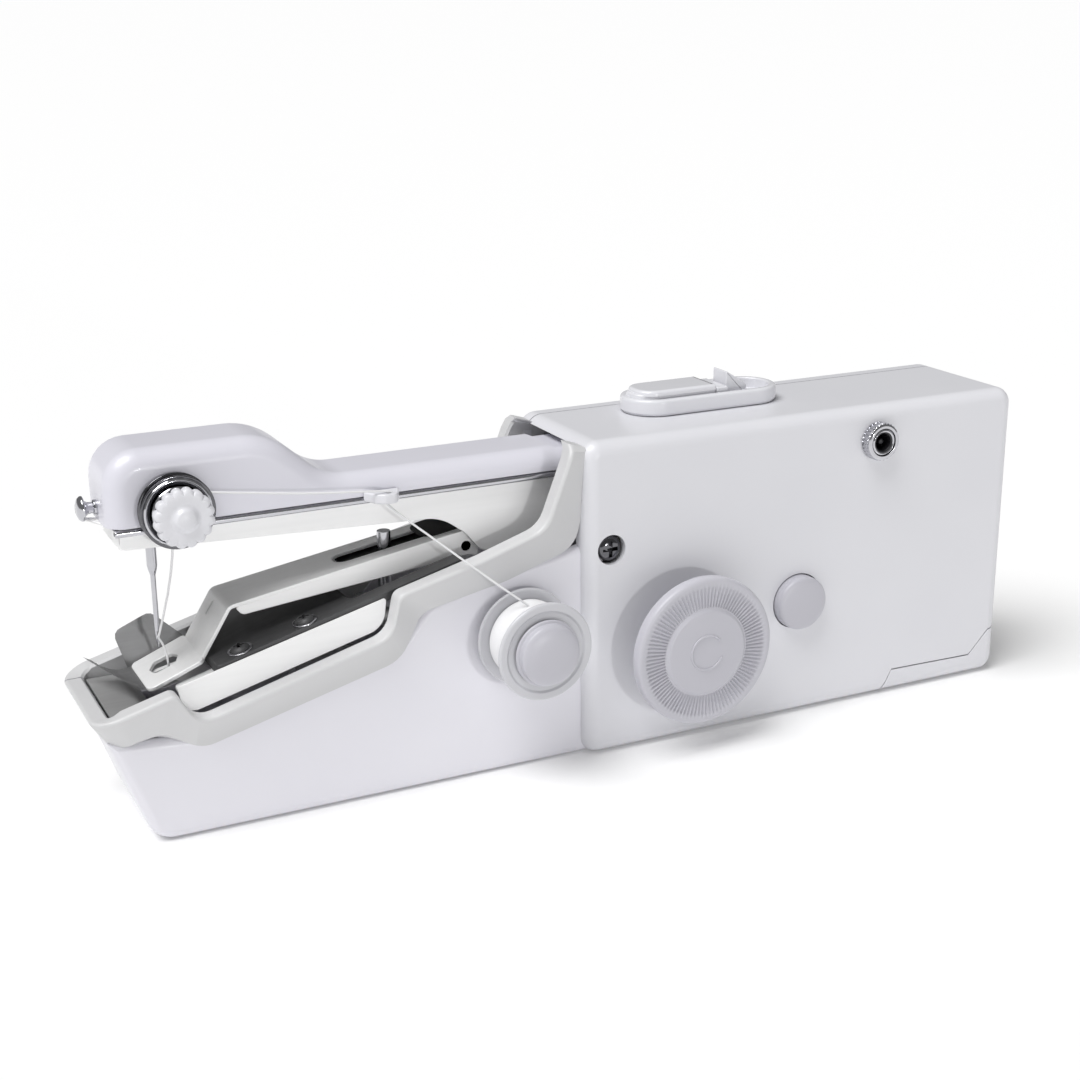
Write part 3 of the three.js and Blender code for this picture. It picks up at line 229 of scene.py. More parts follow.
def filletPath(corners, steps=6, closed=True):
    points = []
    count = len(corners)
    for i, corner in enumerate(corners):
        u, v, radius = (*corner, 0)[:3]
        here = Vector((u, v))
        if not closed and i in (0, count - 1) or radius <= 0:
            points.append(here)
            continue
        before = Vector(corners[i - 1][:2]) - here
        after = Vector(corners[(i + 1) % count][:2]) - here
        turn = before.angle(after)
        if math.pi - turn < 0.01:  # a straight run: the same number of points, spread along it
            ends = here + before.normalized() * 0.5, here + after.normalized() * 0.5
            points += [ends[0].lerp(ends[1], k / steps) for k in range(steps + 1)]
            continue
        reach = min(radius / math.tan(turn / 2), before.length * 0.49, after.length * 0.49)
        fit = reach * math.tan(turn / 2)
        centre = here + (before.normalized() + after.normalized()).normalized() * math.hypot(reach, fit)
        first = here + before.normalized() * reach - centre
        last = here + after.normalized() * reach - centre
        swing = first.angle_signed(last)
        for k in range(steps + 1):
            points.append(centre + Matrix.Rotation(-swing * k / steps, 2) @ first)
    return [(p.x, p.y) for p in points]


def insetPath(points, distance, closed=True):
    moved = []
    count = len(points)
    for i in range(count):
        before, here, after = Vector(points[i - 1]), Vector(points[i]), Vector(points[(i + 1) % count])
        if not closed and i == 0:
            before = here * 2 - after
        if not closed and i == count - 1:
            after = here * 2 - before
        a, b = (here - before).normalized(), (after - here).normalized()
        across = Vector((-a.y - b.y, a.x + b.x)).normalized()
        reach = distance / max(0.4, across.dot(Vector((-a.y, a.x))))
        moved.append(tuple(here + across * reach))
    return moved


def newObject(name, bm, material):
    bmesh.ops.recalc_face_normals(bm, faces=bm.faces)
    mesh = bpy.data.meshes.new(name)
    bm.to_mesh(mesh)
    bm.free()
    if material:
        mesh.materials.append(material)
    obj = bpy.data.objects.new(name, mesh)
    bpy.context.scene.collection.objects.link(obj)
    return obj


def bridgeRings(bm, rings, closedRing=True, caps=True, loop=False):
    levels = [[bm.verts.new([c * mm for c in point]) for point in ring] for ring in rings]
    span = len(rings[0])
    for a, b in zip(levels, levels[1:] + (levels[:1] if loop else [])):
        for i in range(span if closedRing else span - 1):
            j = (i + 1) % span
            bm.faces.new((a[i], a[j], b[j], b[i]))
    if caps and not loop:
        bm.faces.new(levels[0])
        bm.faces.new(levels[-1])


# A slab seen along one axis, with its edges rounded; the outline runs anticlockwise
def roundedSlab(bm, outline, low, high, edge, axis="y", steps=5):
    rings = []
    for k in range(steps + 1):
        angle = math.pi / 2 * k / steps
        rings.append((low + edge * (1 - math.cos(angle)), edge * (1 - math.sin(angle))))
    rings += [(high + low - depth, shrink) for depth, shrink in reversed(rings)]
    if not edge:
        rings = [(low, 0), (high, 0)]
    place = {"x": lambda u, v, w: (w, u, v), "y": lambda u, v, w: (u, w, v), "z": lambda u, v,
             w: (u, v, w)}[axis]
    bridgeRings(bm, [[place(u, v, w) for u, v in insetPath(outline, shrink)] for w, shrink in rings])


def block(bm, low, high):
    corners = [(low[0], low[1]), (high[0], low[1]), (high[0], high[1]), (low[0], high[1])]
    bridgeRings(bm, [[(x, y, z) for x, y in corners] for z in (low[2], high[2])])


# A turned body about an axis along Y; the profile is (radius, distance towards -Y, fillet)
def turnedBody(bm, profile, centre, sides=96, wave=None, steps=4):
    x, y, z = centre
    rings = []
    points = filletPath(profile, steps, closed=False)
    for i in range(sides):
        angle = 2 * math.pi * i / sides
        ring = []
        for radius, out in points:
            if wave:
                radius, out = wave(angle, radius, out)
            ring.append((x + radius * math.cos(angle), y - out, z + radius * math.sin(angle)))
        rings.append(ring)
    bridgeRings(bm, rings, closedRing=False, loop=True)
    bmesh.ops.remove_doubles(bm, verts=bm.verts, dist=0.002 * mm)


# A round wire or thread through points; twist raises its plies
def wire(bm, route, radius, sides=10, plies=0, pitch=2.0, steps=6):
    points = [Vector(p) for p in route]
    smooth = []
    for i in range(len(points) - 1):
        a, b, c, d = points[max(0, i - 1)], points[i], points[i + 1], points[min(len(points) - 1, i + 2)]
        for k in range(steps):
            t = k / steps
            smooth.append(0.5 * (2 * b + (c - a) * t + (2 * a - 5 * b + 4 * c - d) * t * t
                                 + (3 * b - a - 3 * c + d) * t ** 3))
    smooth.append(points[-1])
    rings, run, normal = [], 0.0, None
    for i, here in enumerate(smooth):
        along = (smooth[min(i + 1, len(smooth) - 1)] - smooth[max(i - 1, 0)]).normalized()
        if normal is None:
            normal = along.orthogonal().normalized()
        normal = (normal - along * normal.dot(along)).normalized()
        other = along.cross(normal)
        run += (here - smooth[i - 1]).length if i else 0
        ring = []
        for k in range(sides):
            angle = 2 * math.pi * k / sides
            ply = abs(math.sin(plies * (angle + 2 * math.pi * run / pitch) / 2)) if plies else 0
            size = radius * (1 + 0.14 * ply)
            ring.append(here + (normal * math.cos(angle) + other * math.sin(angle)) * size)
        rings.append(ring)
    bridgeRings(bm, rings)


def carve(target, cutter, operation="DIFFERENCE"):
    step = target.modifiers.new("carve", "BOOLEAN")
    step.operation = operation
    step.solver = "EXACT"
    step.object = cutter
    step.material_mode = "TRANSFER"
    done = bpy.data.meshes.new_from_object(target.evaluated_get(bpy.context.evaluated_depsgraph_get()))
    target.modifiers.remove(step)
    target.data = done
    bpy.data.objects.remove(cutter)


def smoothSurface(obj, angle=35):
    mesh = obj.data
    mesh.shade_smooth()
    mesh.set_sharp_from_angle(angle=math.radians(angle))
    weighted = obj.modifiers.new("even shading", "WEIGHTED_NORMAL")
    weighted.keep_sharp = True
    weighted.weight = 80


def fitPiece(obj, body, replaced=(), angle=35):
    smoothSurface(obj, angle)
    if isinstance(body, str):
        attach(obj, body)
    else:  # a piece between two bodies: its transform is baked, and it is not parented or bent
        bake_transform(obj)
    if replaced:
        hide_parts(*replaced)


# Casing

casing = {"front": -3.2, "rear": 105.6, "height": 68.0, "half": 16.6, "round": 3.0, "corner": 3.6,
          "tubHalf": 14.0, "tubRound": 2.0, "wall": 1.8, "seam": 11.0, "gap": 0.3,
          "rimStart": 26.7, "rimSlope": 0.27, "noseTop": -102.8, "noseFoot": -93.6,
          "lipNose": -104.3, "lipCorner": 6.0, "openHalf": 12.2,
          "lipLowNose": -100.5, "lipLowCorner": 4.0, "lipDrop": 7, "lipEdge": 1.1}


def rimAt(x):
    return casing["rimStart"] + casing["rimSlope"] * (x - casing["noseTop"])


# The upper edge and the lower edge of the flaring lip, from the roof to the nose
def lipLines(near):
    top = [(-5.8, 67.9, 0), (-6.23, 66.8, 0), (-6.94, 65, 0), (-12.2, 51.6, 6), (-26, rimAt(-26) - 0.2, 20)]
    low = [(0.5, 66.0, 0), (0.35, 65.4, 0), (0.0, 64.0, 0), (-4.5, 46.2, 6), (-19.6, 41.3, 20)]
    if near:
        top += [(-43.9, rimAt(-43.9), 2.2), (-45.6, 34.6, 5), (-84.6, 23.9, 4.2), (-88.4, rimAt(-88.4), 1.6)]
        low += [(-38.4, 37.6, 4), (-43.0, 28.4, 7), (-83.6, 17.8, 6), (-91.2, 22.4, 4)]
    else:
        top += [(-43.9, rimAt(-43.9), 2.2), (-60, rimAt(-60), 5), (-75, rimAt(-75), 5),
                (-88.4, rimAt(-88.4), 1.6)]
        low += [(-43.9, rimAt(-43.9) - 12.5, 4), (-60, rimAt(-60) - 12.5, 7), (-75, rimAt(-75) - 12.5, 6),
                (-88.4, rimAt(-88.4) - 10.5, 4)]
    top.append((-98.3, rimAt(-98.3), 0))
    low.append((-96.4, rimAt(-96.4) - casing["lipDrop"], 0))
    return filletPath(top, 5, False), filletPath(low, 5, False)


def makeLip():
    half, tubHalf = casing["half"], casing["tubHalf"]
    nearTop, nearLow = lipLines(True)
    farTop, farLow = lipLines(False)

    def sideAt(z):  # the lip follows the roof's rounded edge
        above = min(3.0, max(0.0, z - casing["height"] + casing["round"]))
        return half - casing["round"] + math.sqrt(casing["round"] ** 2 - above ** 2)

    stations = [((x, -sideAt(z), z), (u, -tubHalf, w), (0, -1)) for (x, z), (u, w) in zip(nearTop, nearLow)]
    corner, lowCorner = casing["lipCorner"], casing["lipLowCorner"]
    lowNose, drop, lipEdge = casing["lipLowNose"], casing["lipDrop"], casing["lipEdge"]
    for side in (-1, 1):
        turn = []
        for k in range(1, 8):
            angle = math.pi / 2 * k / 8
            x = casing["lipNose"] + corner * (1 - math.sin(angle))
            y = side * (half - corner * (1 - math.cos(angle)))
            u = lowNose + lowCorner * (1 - math.sin(angle))
            w = side * (tubHalf - lowCorner * (1 - math.cos(angle)))
            turn.append(((x, y, rimAt(x)), (u, w, rimAt(u) - drop),
                         (-math.sin(angle), side * math.cos(angle))))
        nose = casing["lipNose"]
        straight = [((nose, side * (half - corner) * t, rimAt(nose)),
                     (lowNose, side * (tubHalf - lowCorner) * t,
                     rimAt(lowNose) - drop), (-1, 0)) for t in (1, 0.5)]
        stations += turn + straight if side < 0 else straight[::-1] + turn[::-1]
    stations += [((x, sideAt(z), z), (u, tubHalf, w), (0, 1)) for (x, z),
                 (u, w) in zip(farTop[::-1], farLow[::-1])]
    rings = []
    for top, low, out in stations:
        top, low, out = Vector(top), Vector(low), Vector((*out, 0))
        down = (low - top)
        face = down.normalized()
        side = (face - out * face.dot(out)).normalized()
        width = 4.3 if abs(out.y) > 0.9 else 4.1
        inner = top - out * width
        ring = [low]
        for k in range(5):
            angle = math.pi / 2 * k / 4
            ring.append(top + face * lipEdge * (1 - math.sin(angle)) - out * lipEdge * (1 - math.cos(angle)))
        ring += [inner + out * 0.5, inner + side * 0.5,
                 inner + side * 9 if top.x > -90 or out.y > 0.5 else inner + side * 6,
                 low - out * 1.6 + side]
        rings.append([tuple(p) for p in ring])
    bm = bmesh.new()
    bridgeRings(bm, rings)
    return newObject("lip", bm, shadedRimAbs)


def makeCasing():
    c = casing
    boxLine = filletPath([(c["front"], 0, c["corner"]), (c["rear"], 0, c["corner"]),
                          (c["rear"], c["height"], c["corner"]),
                          (c["front"], c["height"], c["corner"])], 8)
    bm = bmesh.new()
    roundedSlab(bm, boxLine, -c["half"], c["half"], c["round"], steps=7)
    box = newObject("case box", bm, whiteAbs)
    inner = bmesh.new()
    block(inner, (c["front"] + c["wall"], -c["half"] + c["wall"], c["wall"]),
          (c["rear"] - c["wall"], c["half"] - c["wall"], c["height"] - c["wall"]))
    carve(box, newObject("room", inner, None))
    lean = (c["noseTop"] - c["noseFoot"]) / c["rimStart"]
    tubLine = filletPath([(c["noseFoot"], 0, 5.5), (c["front"] + 6, 0, 0), (c["front"] + 6, 47, 0),
                          (-20, 43.2, 3),
                          (-37, 38.6, 3), (-43.5, 31.2, 3), (-84, 20.6, 3),
                          (c["noseFoot"] + lean * 21.5, 21.5, 0)], 8)
    bm = bmesh.new()
    roundedSlab(bm, tubLine, -c["tubHalf"], c["tubHalf"], c["tubRound"], steps=6)
    tub = newObject("tub", bm, litArmAbs)
    roomLine = [(-91.4, 1.8), (c["front"] + 9, 1.8), (c["front"] + 9, 64.7), (-20, 64.7), (-99.4, 40),
                (-99.4, 24)]
    mouthLine = [(-30, 40), (5, 40), (5, 66.4), (-30, 66.4)]
    for target, line in ((tub, roomLine), (box, mouthLine)):
        bm = bmesh.new()
        roundedSlab(bm, line, -c["openHalf"], c["openHalf"], 0)
        carve(target, newObject("opening", bm, None))
    lip = makeLip()
    whole = box
    carve(whole, tub, "UNION")
    carve(whole, lip, "UNION")
    # holes for the screw, the side button and the inlet
    holes = bmesh.new()
    turnedBody(holes, [(0, 3), (3.2, 3, 0), (3.2, -2.4, 0), (0, -2.4)], (2.7, -c["half"], 45.1), 64)
    turnedBody(holes, [(0, 3), (6.25, 3, 0), (6.25, -2.9, 0), (0, -2.9)], (48.8, -c["half"], 26.5), 96)
    turnedBody(holes, [(0, 3), (3.1, 3, 0), (3.1, -2.9, 0), (0, -2.9)], (68, -c["half"], 60.4), 64)
    carve(whole, newObject("holes", holes, None))
    return whole


def doorLine(grow):
    return [(73.6 - grow, -1), (106.6, -1), (106.6, 11 + grow), (102.7, 10.3 + grow), (97.5, 4.9 + grow),
            (75.4, 5.3 + grow), (73.6 - grow, 1.8)]


def keepPart(whole, name, line, low, high, operation):
    part = whole.copy()
    part.data = whole.data.copy()
    part.name = name
    bpy.context.scene.collection.objects.link(part)
    bm = bmesh.new()
    roundedSlab(bm, line, low, high, 0)
    carve(part, newObject("knife", bm, None), operation)
    return part


wholeCase = makeCasing()
allRound = [(-200, -20), (200, -20), (200, 120), (-200, 120)]
shellOnly = keepPart(wholeCase, "shell", doorLine(casing["gap"]), -60, 60, "DIFFERENCE")
frontShell = keepPart(shellOnly, "frontShell", allRound, -60, casing["seam"], "INTERSECT")
backShell = keepPart(shellOnly, "backShell", allRound, casing["seam"] + casing["gap"], 60, "INTERSECT")
doorShell = keepPart(wholeCase, "batteryHatch", doorLine(0), -60, 60, "INTERSECT")
for spare in (wholeCase, shellOnly):
    bpy.data.objects.remove(spare)
fitPiece(frontShell, "housing", ["front_casing"])
fitPiece(backShell, "housing", ["back_cover"])
fitPiece(doorShell, "battery_door", ["battery_door"])
print("casing made")

# Turned pieces on the near side

wheel = {"centre": (20, -16.6, 22.95), "radius": 16.0, "rim": 9.4, "face": 9.9, "back": 6.6, "ribs": 96,
         "ribsFrom": 9.8, "ribsTo": 14.0, "ribDepth": 0.4, "disc": 9.5}


def makeHandWheel():
    w = wheel

    def ribbed(angle, radius, out):
        inside = w["ribsFrom"] < radius < w["ribsTo"] + 0.3 and out > w["rim"] - 0.5
        return radius, out - (w["ribDepth"] * (0.5 - 0.5 * math.cos(w["ribs"] * angle)) if inside else 0)

    bm = bmesh.new()
    turnedBody(bm, [(0, w["face"]), (w["disc"] - 0.6, w["face"], 0.5), (w["disc"], w["rim"] - 0.1, 0.3),
                    (w["ribsFrom"] - 0.1, w["rim"] - 0.1), (w["ribsFrom"] + 0.1, w["rim"] - 0.02),
                    (11.2, w["rim"]),
                    (12.6, w["rim"]), (w["ribsTo"] - 0.1, w["rim"]), (w["ribsTo"] + 0.32, w["rim"] + 0.02),
                    (w["radius"], w["rim"] + 0.02, 1.3), (w["radius"], w["back"], 0.6), (5.2, w["back"]),
                    (5.2, 0.5), (0, 0.5)], w["centre"], sides=w["ribs"] * 6, wave=ribbed)
    # a faint broken ring in the middle of the disc
    x, y, z = w["centre"]
    for start, end in ((0.7, 3.6), (3.6, 5.9)):
        arc = [(x + 3.75 * math.cos(start + (end - start) * k / 14), y - w["face"] - 0.02,
                z + 3.75 * math.sin(start + (end - start) * k / 14)) for k in range(15)]
        wire(bm, arc, 0.26, sides=10, steps=2)
    fitPiece(newObject("handWheel", bm, greyAbs), "main_drive", ["hand_wheel"], 50)


button = {"centre": (48.8, -16.6, 26.5), "radius": 6.0}


def makeSideButton():
    bm = bmesh.new()
    r = button["radius"]
    turnedBody(bm, [(0, 3.0), (2.5, 2.95), (4.6, 2.75), (r, 2.45, 1.1), (r, -2.1), (0, -2.1)],
               button["centre"], 96)
    fitPiece(newObject("sideButton", bm, greyAbs), "side_button", ["side_button"], 40)


reel = {"centre": (-16.9, 0, 29.5), "radius": 10.2, "back": 15.2, "front": 26.0, "core": 4.0, "wound": 8.3}


def makeBobbin():
    r = reel
    bm = bmesh.new()
    turnedBody(bm, [(1.6, r["back"]), (r["radius"], r["back"], 0.4), (r["radius"], r["back"] + 1, 0.4),
                    (r["core"], r["back"] + 1), (r["core"], r["front"] - 1),
                    (r["radius"], r["front"] - 1, 0.4),
                    (r["radius"], r["front"], 0.5), (8.6, r["front"], 0.3), (8.2, r["front"] - 0.35, 0.2),
                    (1.6, r["front"] - 0.35), (1.6, r["back"])], r["centre"], 96)
    fitPiece(newObject("threadReel", bm, frostedStyrene), "bobbin", ["bobbin"], 40)

    turns = 22
    low, high = r["back"] + 1.3, r["front"] - 1.3
    profile = [(r["core"] + 0.3, low)]
    for i in range(turns * 6 + 1):
        share = i / (turns * 6)
        swell = 0.35 * math.sin(math.pi * share) + 0.12 * abs(math.sin(turns * math.pi * share))
        profile.append((r["wound"] - 0.3 + swell, low + (high - low) * share))
    profile += [(r["core"] + 0.3, high), (r["core"] + 0.3, low)]
    bm = bmesh.new()
    turnedBody(bm, profile, r["centre"], 72)
    fitPiece(newObject("reelThread", bm, polyesterThread), "bobbin", ["bobbin_thread"], 60)

    bm = bmesh.new()
    turnedBody(bm, [(0, r["front"] + 3.3), (3.6, r["front"] + 3.25), (5.4, r["front"] + 2.9),
                    (6.3, r["front"] + 2.2, 0.6),
                    (6.3, r["front"] + 0.9, 0.2), (6.9, r["front"] + 0.8, 0.2), (6.9, r["front"] + 0.3),
                    (0, r["front"] + 0.3)],
               r["centre"], 96)
    fitPiece(newObject("reelCap", bm, greyAbs), "bobbin_cap", ["bobbin_cap"], 40)


tension = {"centre": (-84.4, 0, 64.0), "side": 8.8, "disc": 7.0, "knob": 5.6, "scallops": 16,
           "knobBack": 14.0}


def makeTension():
    t = tension
    side = t["side"]
    for name, node, out, way in (("tensionDiscRear", "tension_disc_inner", side + 0.2, 1),
                                 ("tensionDiscFront", "tension_disc_outer", side + 3.0, -1)):
        bm = bmesh.new()
        shape = [(1.3, 0.4), (5.0, 0.4, 0.8), (6.7, 0.0), (t["disc"], 0.12, 0.08), (t["disc"], 0.5, 0.2),
                 (6.3, 0.62),
                 (5.2, 0.9, 0.6), (1.3, 0.9), (1.3, 0.4)]
        turnedBody(bm, [(c[0], out + way * c[1], *c[2:]) for c in shape], t["centre"], 96)
        fitPiece(newObject(name, bm, smokedChrome), "upper_arm", [node], 45)

    bm = bmesh.new()
    for radius, out in ((6.1, side + 3.1), (4.6, side + 3.2)):
        turnedBody(bm, [(radius - 0.35, out - 0.1), (radius, out + 0.3, 0.25), (radius + 0.35, out - 0.1),
                        (radius - 0.35, out - 0.1)], t["centre"], 96)
    fitPiece(newObject("tensionRings", bm, polishedSteel), "upper_arm", (), 45)

    def scalloped(angle, radius, out):
        wave = 0.55 * abs(math.sin(t["scallops"] * angle / 2)) ** 0.7
        return (radius - 0.5 + wave if radius > 4.2 else radius), out

    back = t["knobBack"]
    bm = bmesh.new()
    turnedBody(bm, [(1.4, back), (5.2, back, 0.3), (t["knob"], back + 0.5, 0.3), (t["knob"], back + 2.2, 0.5),
                    (4.9, back + 2.6, 0.4), (4.1, back + 2.65), (2.7, back + 2.45, 0.8),
                    (2.2, back + 2.9, 0.4),
                    (1.7, back + 3.5, 0.5), (0.8, back + 3.8), (0, back + 3.8)][::-1]
               + [(1.4, back)], t["centre"], 192, wave=scalloped)
    fitPiece(newObject("tensionKnob", bm, whiteAbs), "knob", ["tension_knob"], 55)


makeHandWheel()
makeSideButton()
makeBobbin()
makeTension()
print("wheel, button, reel and tension dial made")


# Upper arm

arm = {"half": 8.5, "coverLow": 61.2, "edge": 3.8, "coverWall": 1.0}


# A shell open along the bottom: two skins of rows across the arm, joined by a rim
def openShell(bm, outline, half, edge, wall, steps=8):
    skins = []
    for inward in (0, wall):
        size, turn = half - inward, edge - inward
        depths = []
        for k in range(steps + 1):
            angle = math.pi / 2 * k / steps
            depths.append((turn * (1 - math.cos(angle)) - size, turn * (1 - math.sin(angle))))
        depths += [(-y, shrink) for y, shrink in reversed(depths)]
        skins.append([[bm.verts.new((u * mm, y * mm, v * mm)) for u,
                       v in insetPath(outline, shrink + inward, False)]
                      for y, shrink in depths])
    for skin in skins:
        for a, b in zip(skin, skin[1:]):
            for i in range(len(a) - 1):
                bm.faces.new((a[i], a[i + 1], b[i + 1], b[i]))
        bm.faces.new(skin[0])
        bm.faces.new(skin[-1])
    outer, inner = skins
    for k in range(len(outer) - 1):
        for end in (0, -1):
            bm.faces.new((outer[k][end], outer[k + 1][end], inner[k + 1][end], inner[k][end]))
    for row in (0, -1):
        bm.faces.new((outer[row][0], outer[row][-1], inner[row][-1], inner[row][0]))


def makeArmCover():
    line = filletPath([(12, arm["coverLow"], 0), (12, 65.0, 5), (-4.6, 65.0, 0), (-6.2, 65.7, 0),
                       (-54, 65.7, 11),
                       (-65.2, 75.4, 14), (-96.8, 75.4, 11), (-96.8, arm["coverLow"], 0)], 8, closed=False)
    bm = bmesh.new()
    openShell(bm, line, arm["half"], arm["edge"], arm["coverWall"])
    fitPiece(newObject("armCover", bm, paleAbs), "upper_arm", ["arm_cover"], 40)


def makeArmSheet():
    flange = filletPath([(-94.6, 56.8, 1.2), (-52.6, 55.1, 30), (-31, 54.2, 10), (-25.6, 50.2, 4),
                         (-22, 45.6, 4),
                         (-12, 46.6, 8), (0, 52.2, 10), (38, 52.2, 4), (47.8, 53.2, 3.6), (47.8, 60.8, 3.6),
                         (11, 60.8, 0.6),
                         (10.6, 63, 0.6), (-94.6, 63, 0.6)], 6)
    bm = bmesh.new()
    for low, high in ((-7.2, -6.6), (6.6, 7.2)):
        roundedSlab(bm, flange, low, high, 0.15, steps=3)
    block(bm, (-79, -7, 62.4), (10.5, 7, 62.95))
    block(bm, (-94.6, -7, 56.9), (-94.0, 7, 62.9))
    block(bm, (-95.6, -8.2, 59.7), (-94.5, 8.2, 60.85))
    # wire stay under the clamp screw
    wire(bm, [(-94.4, -3.2, 60.2), (-98.9, -0.4, 61.6), (-99.1, 0.3, 61.6), (-94.4, 3.4, 60.2)], 0.28,
         steps=4)
    wire(bm, [(-94.4, -3.2, 60.0), (-94.6, 3.4, 60.0)], 0.28, steps=2)
    fitPiece(newObject("armSheet", bm, nickelSteel), "upper_arm", ["arm_frame"], 40)
    bm = bmesh.new()
    # the rolled edge that the cover rests on
    for side in (-1, 1):
        bead = filletPath([(side * 8.7, 59.65, 0.55), (side * 8.7, 60.95, 0.55), (side * 7.0, 60.95, 0),
                           (side * 7.0, 59.65, 0)], 6)
        if side < 0:
            bead.reverse()
        roundedSlab(bm, bead, -95.6, -6, 0.3, axis="x", steps=3)
    fitPiece(newObject("armRail", bm, polishedSteel), "upper_arm", (), 40)


def turnTowards(bm, centre, towards):  # for a piece made at the origin, facing -Y
    spin = Vector((0, -1, 0)).rotation_difference(Vector(towards).normalized()).to_matrix().to_4x4()
    place = Matrix.Translation(Vector(centre) * mm) @ spin
    for vertex in bm.verts:
        vertex.co = place @ vertex.co


def addTurned(bm, profile, centre, towards, sides=64, wave=None, steps=4):
    part = bmesh.new()
    turnedBody(part, profile, (0, 0, 0), sides, wave, steps)
    turnTowards(part, centre, towards)
    spare = bpy.data.meshes.new("spare")
    part.to_mesh(spare)
    part.free()
    bm.from_mesh(spare)
    bpy.data.meshes.remove(spare)


def crossSlot(size, width, depth, centre, towards):  # the two cutters of a cross recess
    arms = []
    for a, b in ((size, width), (width, size)):
        part = bmesh.new()
        block(part, (-a, -depth, -b), (a, depth, b))
        turnTowards(part, centre, towards)
        arms.append(newObject("slot arm", part, None))
    return arms


plate = {"level": 34.3, "at": -73.9, "slope": 0.27, "thick": 2.0}


def plateAt(x):  # height of the needle plate's upper face
    return plate["level"] + plate["slope"] * (x - plate["at"])


def makeScrews():
    # clamp screw: domed head with a neck, along X
    bm = bmesh.new()
    addTurned(bm, [(0, 3.8), (1.2, 3.75), (2.0, 3.4), (2.4, 2.9, 0.3), (2.4, 2.5, 0.2), (1.5, 2.2, 0.3),
                   (1.15, 1.7, 0.3),
                   (1.05, 0.8), (1.45, 0.6, 0.2), (1.45, -0.6, 0.2), (1.0, -0.8), (1.0, -6.9, 0.2),
                   (0, -6.9)],
              (-96.8, 0, 63.7), (-1, 0, 0))
    screw = newObject("clampScrew", bm, polishedSteel)
    fitPiece(screw, "clamp_screw", ["needle_clamp_screw"], 40)

    # casing screw, sunk in its recess
    bm = bmesh.new()
    addTurned(bm, [(0, 1.1), (1.4, 1.05), (2.3, 0.75), (2.65, 0.35, 0.2), (2.65, -0.6), (1.4, -0.7),
                   (1.4, -30), (0, -30)],
              (2.7, -15.1, 45.1), (0, -1, 0))
    screw = newObject("casingScrew", bm, smokedChrome)
    for cutter in crossSlot(1.7, 0.42, 1.0, (2.7, -16.3, 45.1), (0.12, -1, 0)):
        carve(screw, cutter)
    fitPiece(screw, "housing", ["casing_screw"], 40)

    # needle plate screws with bright washers
    slope = math.atan(plate["slope"])
    up = (-math.sin(slope), 0, math.cos(slope))
    for i, x in enumerate((-73.9, -60.7)):
        z = plateAt(x)
        bm = bmesh.new()
        addTurned(bm, [(0, 1.15), (1.0, 1.1), (1.7, 0.75), (1.9, 0.35, 0.1), (1.9, 0.2), (0.9, 0.2),
                       (0.9, -7), (0, -7)],
                  (x, -9, z), up)
        head = newObject(f"plateScrew{i + 1}", bm, blackSteel)
        for cutter in crossSlot(1.05, 0.28, 0.7, (x + 1.15 * up[0], -9, z + 1.15 * up[2]), up):
            carve(head, cutter)
        bm = bmesh.new()
        addTurned(bm, [(1.95, 0.05), (2.5, 0.05, 0.1), (2.45, 0.3, 0.12), (1.98, 0.34, 0.1), (1.95, 0.05)],
                  (x, -9, z), up)
        washer = newObject(f"plateWasher{i + 1}", bm, polishedSteel)
        fitPiece(washer, "housing", (), 40)
        fitPiece(head, "housing", [f"plate_screw_{i + 1}"], 40)


makeArmCover()
makeArmSheet()
makeScrews()
print("upper arm and screws made")


# Sheet metal: a flat pattern with holes, cut and then bent along a line

def flatPattern(outline, holes, thickness, edge):
    data = bpy.data.curves.new("pattern", "CURVE")
    data.dimensions = "2D"
    data.fill_mode = "BOTH"
    data.extrude = (thickness / 2 - edge) * mm
    data.bevel_depth = edge * mm
    data.bevel_resolution = 2
    data.offset = -edge * mm
    for line in [outline, *holes]:
        spline = data.splines.new("POLY")
        spline.points.add(len(line) - 1)
        for point, (u, v) in zip(spline.points, line):
            point.co = (u * mm, v * mm, 0, 1)
        spline.use_cyclic_u = True
    holder = bpy.data.objects.new("pattern", data)
    bpy.context.scene.collection.objects.link(holder)
    mesh = bpy.data.meshes.new_from_object(holder.evaluated_get(bpy.context.evaluated_depsgraph_get()))
    bpy.data.objects.remove(holder)
    bm = bmesh.new()
    bm.from_mesh(mesh)
    bmesh.ops.remove_doubles(bm, verts=bm.verts, dist=0.0005 * mm)
    return bm


def bendAlong(bm, line, thickness, cuts):
    for u in cuts:
        geometry = bm.verts[:] + bm.edges[:] + bm.faces[:]
        bmesh.ops.bisect_plane(bm, geom=geometry, plane_co=(u * mm, 0, 0), plane_no=(1, 0, 0))
    points = [Vector(p) for p in line]
    runs = [0.0]
    for a, b in zip(points, points[1:]):
        runs.append(runs[-1] + (b - a).length)
    for vertex in bm.verts:
        u, v, w = vertex.co / mm
        i = max(0, min(len(points) - 2, sum(1 for run in runs if run <= u) - 1))
        along = (points[i + 1] - points[i]).normalized()
        before = (points[i] - points[i - 1]).normalized() if i else along
        after = (points[min(i + 2, len(points) - 1)] - points[i + 1])
        after = after.normalized() if after.length else along
        share = (u - runs[i]) / (runs[i + 1] - runs[i])
        start, end = (before + along).normalized(), (along + after).normalized()
        lean = start.lerp(end, min(1, max(0, share))).normalized()
        here = points[i] + along * (u - runs[i])
        up = Vector((-lean.y, lean.x))
        vertex.co = Vector((here.x + up.x * (w + thickness / 2), v, here.y + up.y * (w + thickness / 2))) * mm


